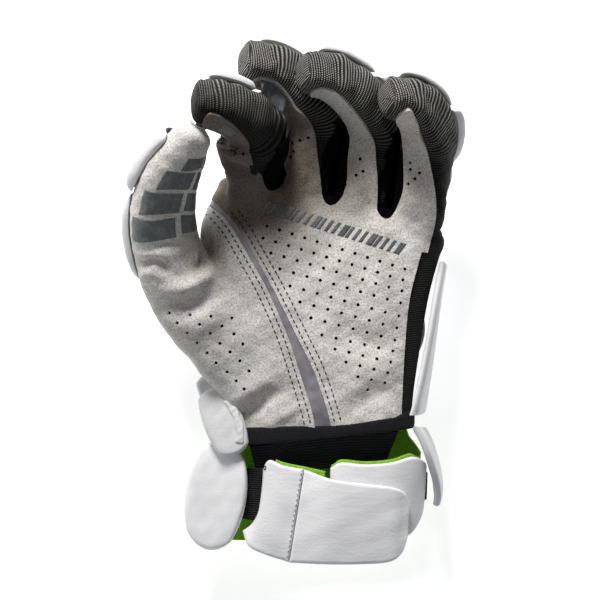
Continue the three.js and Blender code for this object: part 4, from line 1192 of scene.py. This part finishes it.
plates = {  # x y z of one edge, x y z of the other, bow
    "outer_edge_pad": [(77.5, 23, 40, 80.5, 22, 14, 4), (74, 6, 43, 78, 6, 12, 6),
                       (70.8, -12, 45, 75.6, -12, 12, 7), (67, -32, 46, 73, -32, 12, 7),
                       (63, -50, 46, 70.2, -50, 13, 7), (61, -59, 45, 68.5, -60, 15, 7)],
    "cuff_felt_back": [(-46, -98, 20, -46, -124, 20, 0), (-40, -87, 18.6, -40, -128.5, 18.6, 0),
                       (-30, -72, 17.6, -30, -130, 17.6, 0), (14, -64, 17.6, 14, -130, 17.6, 0),
                       (55, -64, 17.6, 54, -128, 17.6, 0), (63, -73, 18.8, 61, -122, 18.8, 0),
                       (68.5, -81, 24, 66, -114, 24, 0)],
    "cuff_band_left": [(-17, -87.5, 45, -28, -121, 43, 0), (-13.5, -83, 48, -24.5, -129, 47, 0.5),
                       (-6, -85.5, 50.5, -15, -133.5, 50, 1), (5.1, -87.5, 52, -2.9, -137, 52, 1)],
    "cuff_felt_left": [(-11, -84, 49, -22, -130, 48.5, 0.5), (-6, -85.5, 50.5, -15, -133.5, 50, 1),
                       (4.7, -87.5, 52, -3.3, -137, 52, 1), (16.5, -90, 52.6, 11, -136.5, 52.5, 1)],
    "cuff_band_right": [(19, -87, 51, 18, -128, 51, 0.5), (25, -84, 52, 26, -128, 52, 0.5),
                        (38, -85, 52.2, 39, -127, 52.2, 0.5), (52, -84, 51, 52, -126, 51, 0.5),
                        (63.5, -81.5, 47.5, 62.5, -123, 46.5, 0), (70, -84, 40, 68, -116, 40, 0),
                        (71.8, -88, 32, 70.3, -110, 32, 0)],
    "closure_tab": [(5.2, -87.6, 52.2, -2.8, -137.2, 52.2, 1), (20.5, -92.5, 56.2, 15, -137.5, 56.2, 1),
                    (38, -95, 56.4, 34, -137.5, 56.4, 0.5), (52, -96.8, 55.2, 50, -136.5, 55.2, 0.5),
                    (59, -100, 53, 57, -132.5, 53, 0), (61.5, -107, 52, 60.5, -123, 52, 0)],
    "cuff_pad_outer": [(62.5, -66, 45, 68.5, -69, 20, 4), (66, -73, 44.5, 72, -75, 18, 4),
                       (69.2, -81.2, 43, 75.2, -84, 16, 4), (73, -92, 39, 77.6, -94, 14, 3),
                       (75.4, -102, 33, 78.2, -103, 13, 2), (75, -109.5, 28, 76.7, -110, 14, 1)],
    "cuff_elastic_left": [(-34, -88, 35.6, -35, -115, 34.6, 0), (-28, -88, 39.3, -31, -115, 37.6, 0),
                          (-20, -88, 41.6, -23, -116, 39.8, 0), (-13.5, -88.5, 42.6, -15, -116, 41, 0)],
    "cuff_elastic_right": [(72.3, -92, 27.5, 71.3, -107, 27.5, 0), (73, -92, 22, 72.6, -107, 22, 0)],
    "wrist_knit": [(-24, -76, 41.5, -20, -92, 37.5, 0), (-12, -74.8, 42.8, -10, -91, 37.5, 0),
                   (0, -71.2, 43.1, 0, -90, 37.5, 0), (30, -68.2, 43.1, 28, -88, 37.5, 0),
                   (56, -68.2, 41, 50, -84, 37.5, 0)],
}
bandThick, feltThick, elasticThick, sideFoam = 3.4, 1.6, 1.6, 4.0
cuffLooks = [  # name, thickness, finish, slot, roll, puff, uneven, padding
    ("outer_edge_pad", sideFoam, "white", "padded_cover", 2.0, 0.2, 0.15, 0.7),
    ("cuff_felt_back", feltThick, "felt", "felt", 0.7, 0, 0.1, None),
    ("cuff_band_left", bandThick, "white", "padded_cover", 1.7, 0.3, 0.18, 0.6),
    ("cuff_band_right", bandThick, "white", "padded_cover", 1.7, 0.3, 0.15, 0.6),
    ("closure_tab", bandThick, "white", "padded_cover", 1.7, 0.3, 0.15, 0.6),
    ("cuff_pad_outer", sideFoam, "white", "padded_cover", 2.0, 0.2, 0.15, 0.7),
    ("cuff_elastic_left", elasticThick, "elastic", "elastic", 0.5, 0, 0, None),
    ("cuff_elastic_right", elasticThick, "elastic", "elastic", 0.5, 0, 0, None),
    ("wrist_knit", elasticThick, "knit", "elastic", 0.6, 0, 0.25, None),
]
drawnIn = {"cuff_band_left": 9.5}
for i, (name, thick, finish, slot, roll, puff, uneven, fill) in enumerate(cuffLooks):
    piece = plate(name + "_cloth", plates[name], 0, thick, roll=roll, puff=puff, seed=100 + i, uneven=uneven,
                  hollow=drawnIn.get(name, 0.0))
    freeTrees[name] = treeOf(piece)
    dress(piece, finish, slot, name)
for side, rows in (("left", plates["cuff_felt_left"]), ("right", plates["cuff_band_right"][:6])):
    name = "cuff_felt_" + side
    piece = plate(name + "_cloth", rows, bandThick + 0.1, bandThick + feltThick, shift=-1.5, roll=0.7,
                  seed=130, uneven=0.1)
    dress(piece, "felt", "felt", name)
print("cuff made")

# Trim: the edge at the wrist, seams, a strip, a ring, and what is printed

hem = {"laps": 0.9, "passes": 1.2, "thick": 1.05, "ripple": 0.12, "rings": 150}


# The black edge of the palm at the wrist: a flat oval carried along the hem. It laps the suede, and its
# other edge passes the hand's end, so that its half width follows from the two.
def hemEdge():
    angle = np.linspace(np.pi + 0.12, -0.5, hem["rings"])
    path = handPoints(np.full(hem["rings"], 0.5), angle, 0.3)
    row = hand[0]
    upper = np.interp(path[:, 0], hemCurve[:, 0], hemCurve[:, 1]) + hem["laps"]
    lower = row[0] + row[1] * (path[:, 0] - 20) - hem["passes"]
    path[:, 1] = (upper + lower) / 2
    half = ((upper - lower) / 2)[:, None, None]
    forward = unit(np.gradient(path, axis=0))
    across = unit(np.array([0, 1.0, 0]) - forward * forward[:, 1:2])
    up = np.cross(across, forward)
    up = -up if up[hem["rings"] // 2, 2] < 0 else up
    turn = np.linspace(0, 2 * np.pi, 33)
    rings = path[:, None] + across[:, None] * half * bent(np.cos(turn), 3.0)[None, :, None]
    ripple = 1 + hem["ripple"] * np.sin(path[:, 0] * 0.9)[:, None]
    rings = rings + up[:, None] * (hem["thick"] * bent(np.sin(turn), 2.6) * ripple)[..., None]
    length = np.cumsum(np.linalg.norm(np.gradient(path, axis=0), axis=1))
    uv = np.stack([np.broadcast_to(length[:, None], ripple.shape[:1] + turn.shape),
                   np.cos(turn) * half[..., 0]], -1)
    return addPiece("hem_tape", [grid(capped(rings), np.concatenate([uv[:1], uv, uv[-1:]]))])


# Small ellipsoids lying along a row of spots, each turned to its neighbours' direction.
def stitches(name, spots, normals, looks):
    length, width, proud = looks["length"], looks["width"], looks["proud"]
    forward = np.gradient(spots, axis=0)
    forward = unit(forward - normals * (forward * normals).sum(-1, keepdims=True))
    side = np.cross(normals, forward)
    turn, tilt = np.meshgrid(np.linspace(0, 2 * np.pi, 9), np.linspace(0, np.pi, 6), indexing="ij")
    shape = [np.cos(tilt) * length / 2, np.sin(tilt) * np.cos(turn) * width / 2,
             np.sin(tilt) * np.sin(turn) * proud]
    points = spots[:, None, None] + sum(part[None, ..., None] * way[:, None, None]
                                        for part, way in zip(shape, (forward, side, normals)))
    faces = gridFaces(*turn.shape)[None] + (np.arange(len(spots)) * turn.size)[:, None, None]
    return addPiece(name, [(points, faces.reshape(-1, 4), None)])


# Points every pitch along a plan path, from its running length.
def spacedAlong(path, pitch):
    length = np.concatenate([[0], np.cumsum(np.linalg.norm(np.diff(path, axis=0), axis=1))])
    at = np.arange(pitch / 2, length[-1], pitch)
    return np.column_stack([np.interp(at, length, path[:, k]) for k in range(path.shape[1])])


stitchLooks = {"pitch": 3.15, "length": 2.15, "width": 0.8, "proud": 0.32, "near": 2.3, "far": 5.6}
for k, (edge, way) in enumerate(((stripeLeft, -1), (stripeRight, 1))):
    ahead = unit(np.gradient(edge, axis=0))
    outward = np.column_stack([ahead[:, 1], -ahead[:, 0]]) * way
    for j, offset in enumerate((stitchLooks["near"], stitchLooks["far"])):
        row = spacedAlong(edge + outward * offset, stitchLooks["pitch"])
        row = row[(row[:, 1] < 50) & (row[:, 1] > np.interp(row[:, 0], hemCurve[:, 0], hemCurve[:, 1]) + 1.5)]
        spots, normals = hitsFromAbove(skinTree, row)
        dress(stitches(f"stripe_stitches_{k}{j}", spots, normals, stitchLooks), "darkThread", "stripe")


# A strip carried along a plan curve over a piece: each point is dropped on it from above, and the
# section stands up by thick (1 - a⁴), a being how far across it is, so that both edges meet the piece
def laidStrip(name, tree, path, half, thick, seed=0, rows=60, columns=15):
    line = curve(path, rows)
    ahead = unit(np.gradient(line, axis=0))
    side = np.column_stack([-ahead[:, 1], ahead[:, 0]])
    a = np.linspace(-1, 1, columns)
    along = np.linspace(0, 1, rows)[:, None]
    width = half * (1 + 0.12 * np.sin(along * 19 + seed))
    plan = line[:, None] + side[:, None] * (width * a)[..., None]
    spots, normals = fromAbove(tree, plan.reshape(-1, 2))
    spots, normals = spots.reshape(rows, columns, 3), normals.reshape(rows, columns, 3)
    keep = ~np.isnan(spots).any(axis=(1, 2))
    spots, normals, along = spots[keep], normals[keep], along[keep]
    rise = thick * (1 - a**4) * eased(0, 0.06, along) * eased(1, 0.94, along)
    rise = rise + 0.15 * waves(spots, 4, seed) * (1 - a**2)
    return slab(name, spots + normals * rise[..., None], spots - normals * 0.3)


# A round ring lying on a piece: a circle of wire carried round a circle
def eyelet(name, tree, xy, radius, wire):
    spot, normal = fromAbove(tree, np.array([xy]))
    side = unit(np.cross(normal, [[0.2, 1.0, 0.1]]))
    other = np.cross(normal, side)
    turn, tilt = np.meshgrid(*(np.linspace(0, 2 * np.pi, count) for count in (33, 13)), indexing="ij")
    reach = (radius + wire * np.cos(tilt))[..., None]
    ring = side * np.cos(turn)[..., None] + other * np.sin(turn)[..., None]
    return addPiece(name, [grid(spot + ring * reach + normal * (wire * np.sin(tilt))[..., None])])


foldPath = [(-36.2, -50.5), (-32.2, -56.0), (-29.6, -62.5), (-28.4, -69.0), (-29.2, -74.5)]
fold = laidStrip("wrist_pad_fold", freeTrees["wrist_pad"], foldPath, 2.2, 0.9, 3)
dress(fold, "shadedWhite", "padded_cover")
seam = {"start": (4.6, -88.6), "end": (-3.3, -136.4), "pitch": 2.75, "length": 1.7, "width": 1.15,
        "proud": 0.5, "beside": (1.2, 0), "moved": (0.7, 0, 0.15)}
row = spacedAlong(np.array([seam["start"], seam["end"]]), seam["pitch"])
spots, normals = hitsFromAbove(freeTrees["cuff_band_left"], row - seam["beside"])
puckers = stitches("closure_seam_thread", spots + seam["moved"], normals, seam)
dress(puckers, "whiteThread", "padded_cover")
ring = eyelet("cuff_eyelet", freeTrees["cuff_band_left"], (-15.4, -86.9), 0.9, 0.32)
dress(ring, "darkThread", "elastic")


# Each inner point of every patch moves halfway to the mean of its four neighbours, a few times over
def evened(grids, times=3):
    for _ in range(times):
        near = (grids[:, :-2, 1:-1] + grids[:, 2:, 1:-1] + grids[:, 1:-1, :-2] + grids[:, 1:-1, 2:]) / 4
        grids = grids.copy()
        grids[:, 1:-1, 1:-1] = (grids[:, 1:-1, 1:-1] + near) / 2
    return grids


# Thin closed patches laid on the suede: every grid point is carried by a ray to the skin, and the patch
# stands between sunk under and thick over it.
def printed(name, grids, ways, thick=0.22, sunk=0.3):
    spots, normals = castOn(skinTree, grids.reshape(-1, 3), ways.reshape(-1, 3))
    spots, normals = spots.reshape(grids.shape), normals.reshape(grids.shape)
    keep = ~np.isnan(spots).any(axis=(1, 2, 3))
    spots, normals = evened(spots[keep]), unit(evened(normals[keep]))
    return addPiece(name, [slabPart(patch + normal * thick, patch - normal * sunk)
                           for patch, normal in zip(spots, normals)])


# Slanted bars in a row from start to end in plan, each every-th one wider, carried down to the suede
def barRow(name, looks):
    along = unit(np.subtract(looks["end"], looks["start"]))
    up = np.array([-along[1], along[0]]) + along * looks["slant"]
    u, v = np.meshgrid(np.linspace(0, 1, 6), np.linspace(0, 1, 12), indexing="ij")
    starts = np.linspace(looks["start"], looks["end"], looks["count"])[:, None, None]
    wider = np.where(np.arange(looks["count"]) % looks["every"] == looks["every"] - 1, looks["wider"], 1.0)
    wide = (looks["width"] * wider)[:, None, None, None]
    plan = starts + along * wide * u[..., None] + up * looks["height"] * v[..., None]
    over = np.concatenate([plan, np.full((*plan.shape[:3], 1), 120.0)], -1)
    return dress(printed(name, over, np.broadcast_to([0, 0, -1.0], over.shape)), "print", "suede")


barRow("palm_bars", {"start": (-17.5, 49.5), "end": (52.5, 27.2), "height": 6.6, "width": 1.7, "slant": 0.35,
                     "count": 20, "every": 4, "wider": 1.9})

# Grip tiles on the thumb and two fingertips: first and last place, left and right angle, slant in rows
gripTiles = {
    "thumb": [(3.55, 4.15, 2.95, 1.4, 0.1), (3.6, 4.2, 1.22, 0.35, -0.15), (4.3, 4.9, 2.6, 1.3, 0.15),
              (4.32, 4.92, 1.12, 0.3, -0.15), (5.05, 5.6, 2.15, 1.15, 0.2), (5.05, 5.65, 0.97, 0.22, -0.15),
              (5.75, 6.25, 1.7, 0.98, 0.25), (5.78, 6.25, 0.8, 0.22, -0.1)],
    "middle": [(4.2, 5.95, 2.2, 1.86, -0.1), (4.4, 5.85, 1.74, 1.4, -0.1)],
    "index": [(3.95, 4.6, 2.1, 1.86, -0.1), (4.05, 4.75, 1.76, 1.5, -0.1)],
}
for digit, tiles in gripTiles.items():
    first, last, left, right, slant = (np.array(column)[:, None, None] for column in zip(*tiles))
    u, v = np.meshgrid(np.linspace(0, 1, 22), np.linspace(0, 1, 16), indexing="ij")
    angle = left + (right - left) * u
    place = first + (last - first) * v + slant * (u - 0.5)
    outer = digitPoints(digit, place, angle, 9.0)
    inner = digitPoints(digit, place, angle, -3.0)
    dress(printed(digit + "_grip_tiles", outer, unit(inner - outer)), "print", "suede")
print("stitches and bars made")

dress(hemEdge(), "binding", "binding", "hem_binding")
print("hem made")
discard(skin, under, handHollow, handFull, underPalm, underThenar, stripePlug, hemPlug, wideStripe)
discard(*tools.values(), *hollows.values())

# Floor

floor = placed("floor", bpy.data.meshes.new("floor"))
floor.data.from_pydata([(-4, -4, 0), (4, -4, 0), (4, 4, 0), (-4, 4, 0)], [], [(0, 1, 2, 3)])
paper, paperShader = newMaterial("paper", (0.9, 0.9, 0.9), 0.9)
paperShader.inputs["Emission Color"].default_value = (1, 1, 1, 1)
paperShader.inputs["Emission Strength"].default_value = 0.7
floor.data.materials.append(paper)
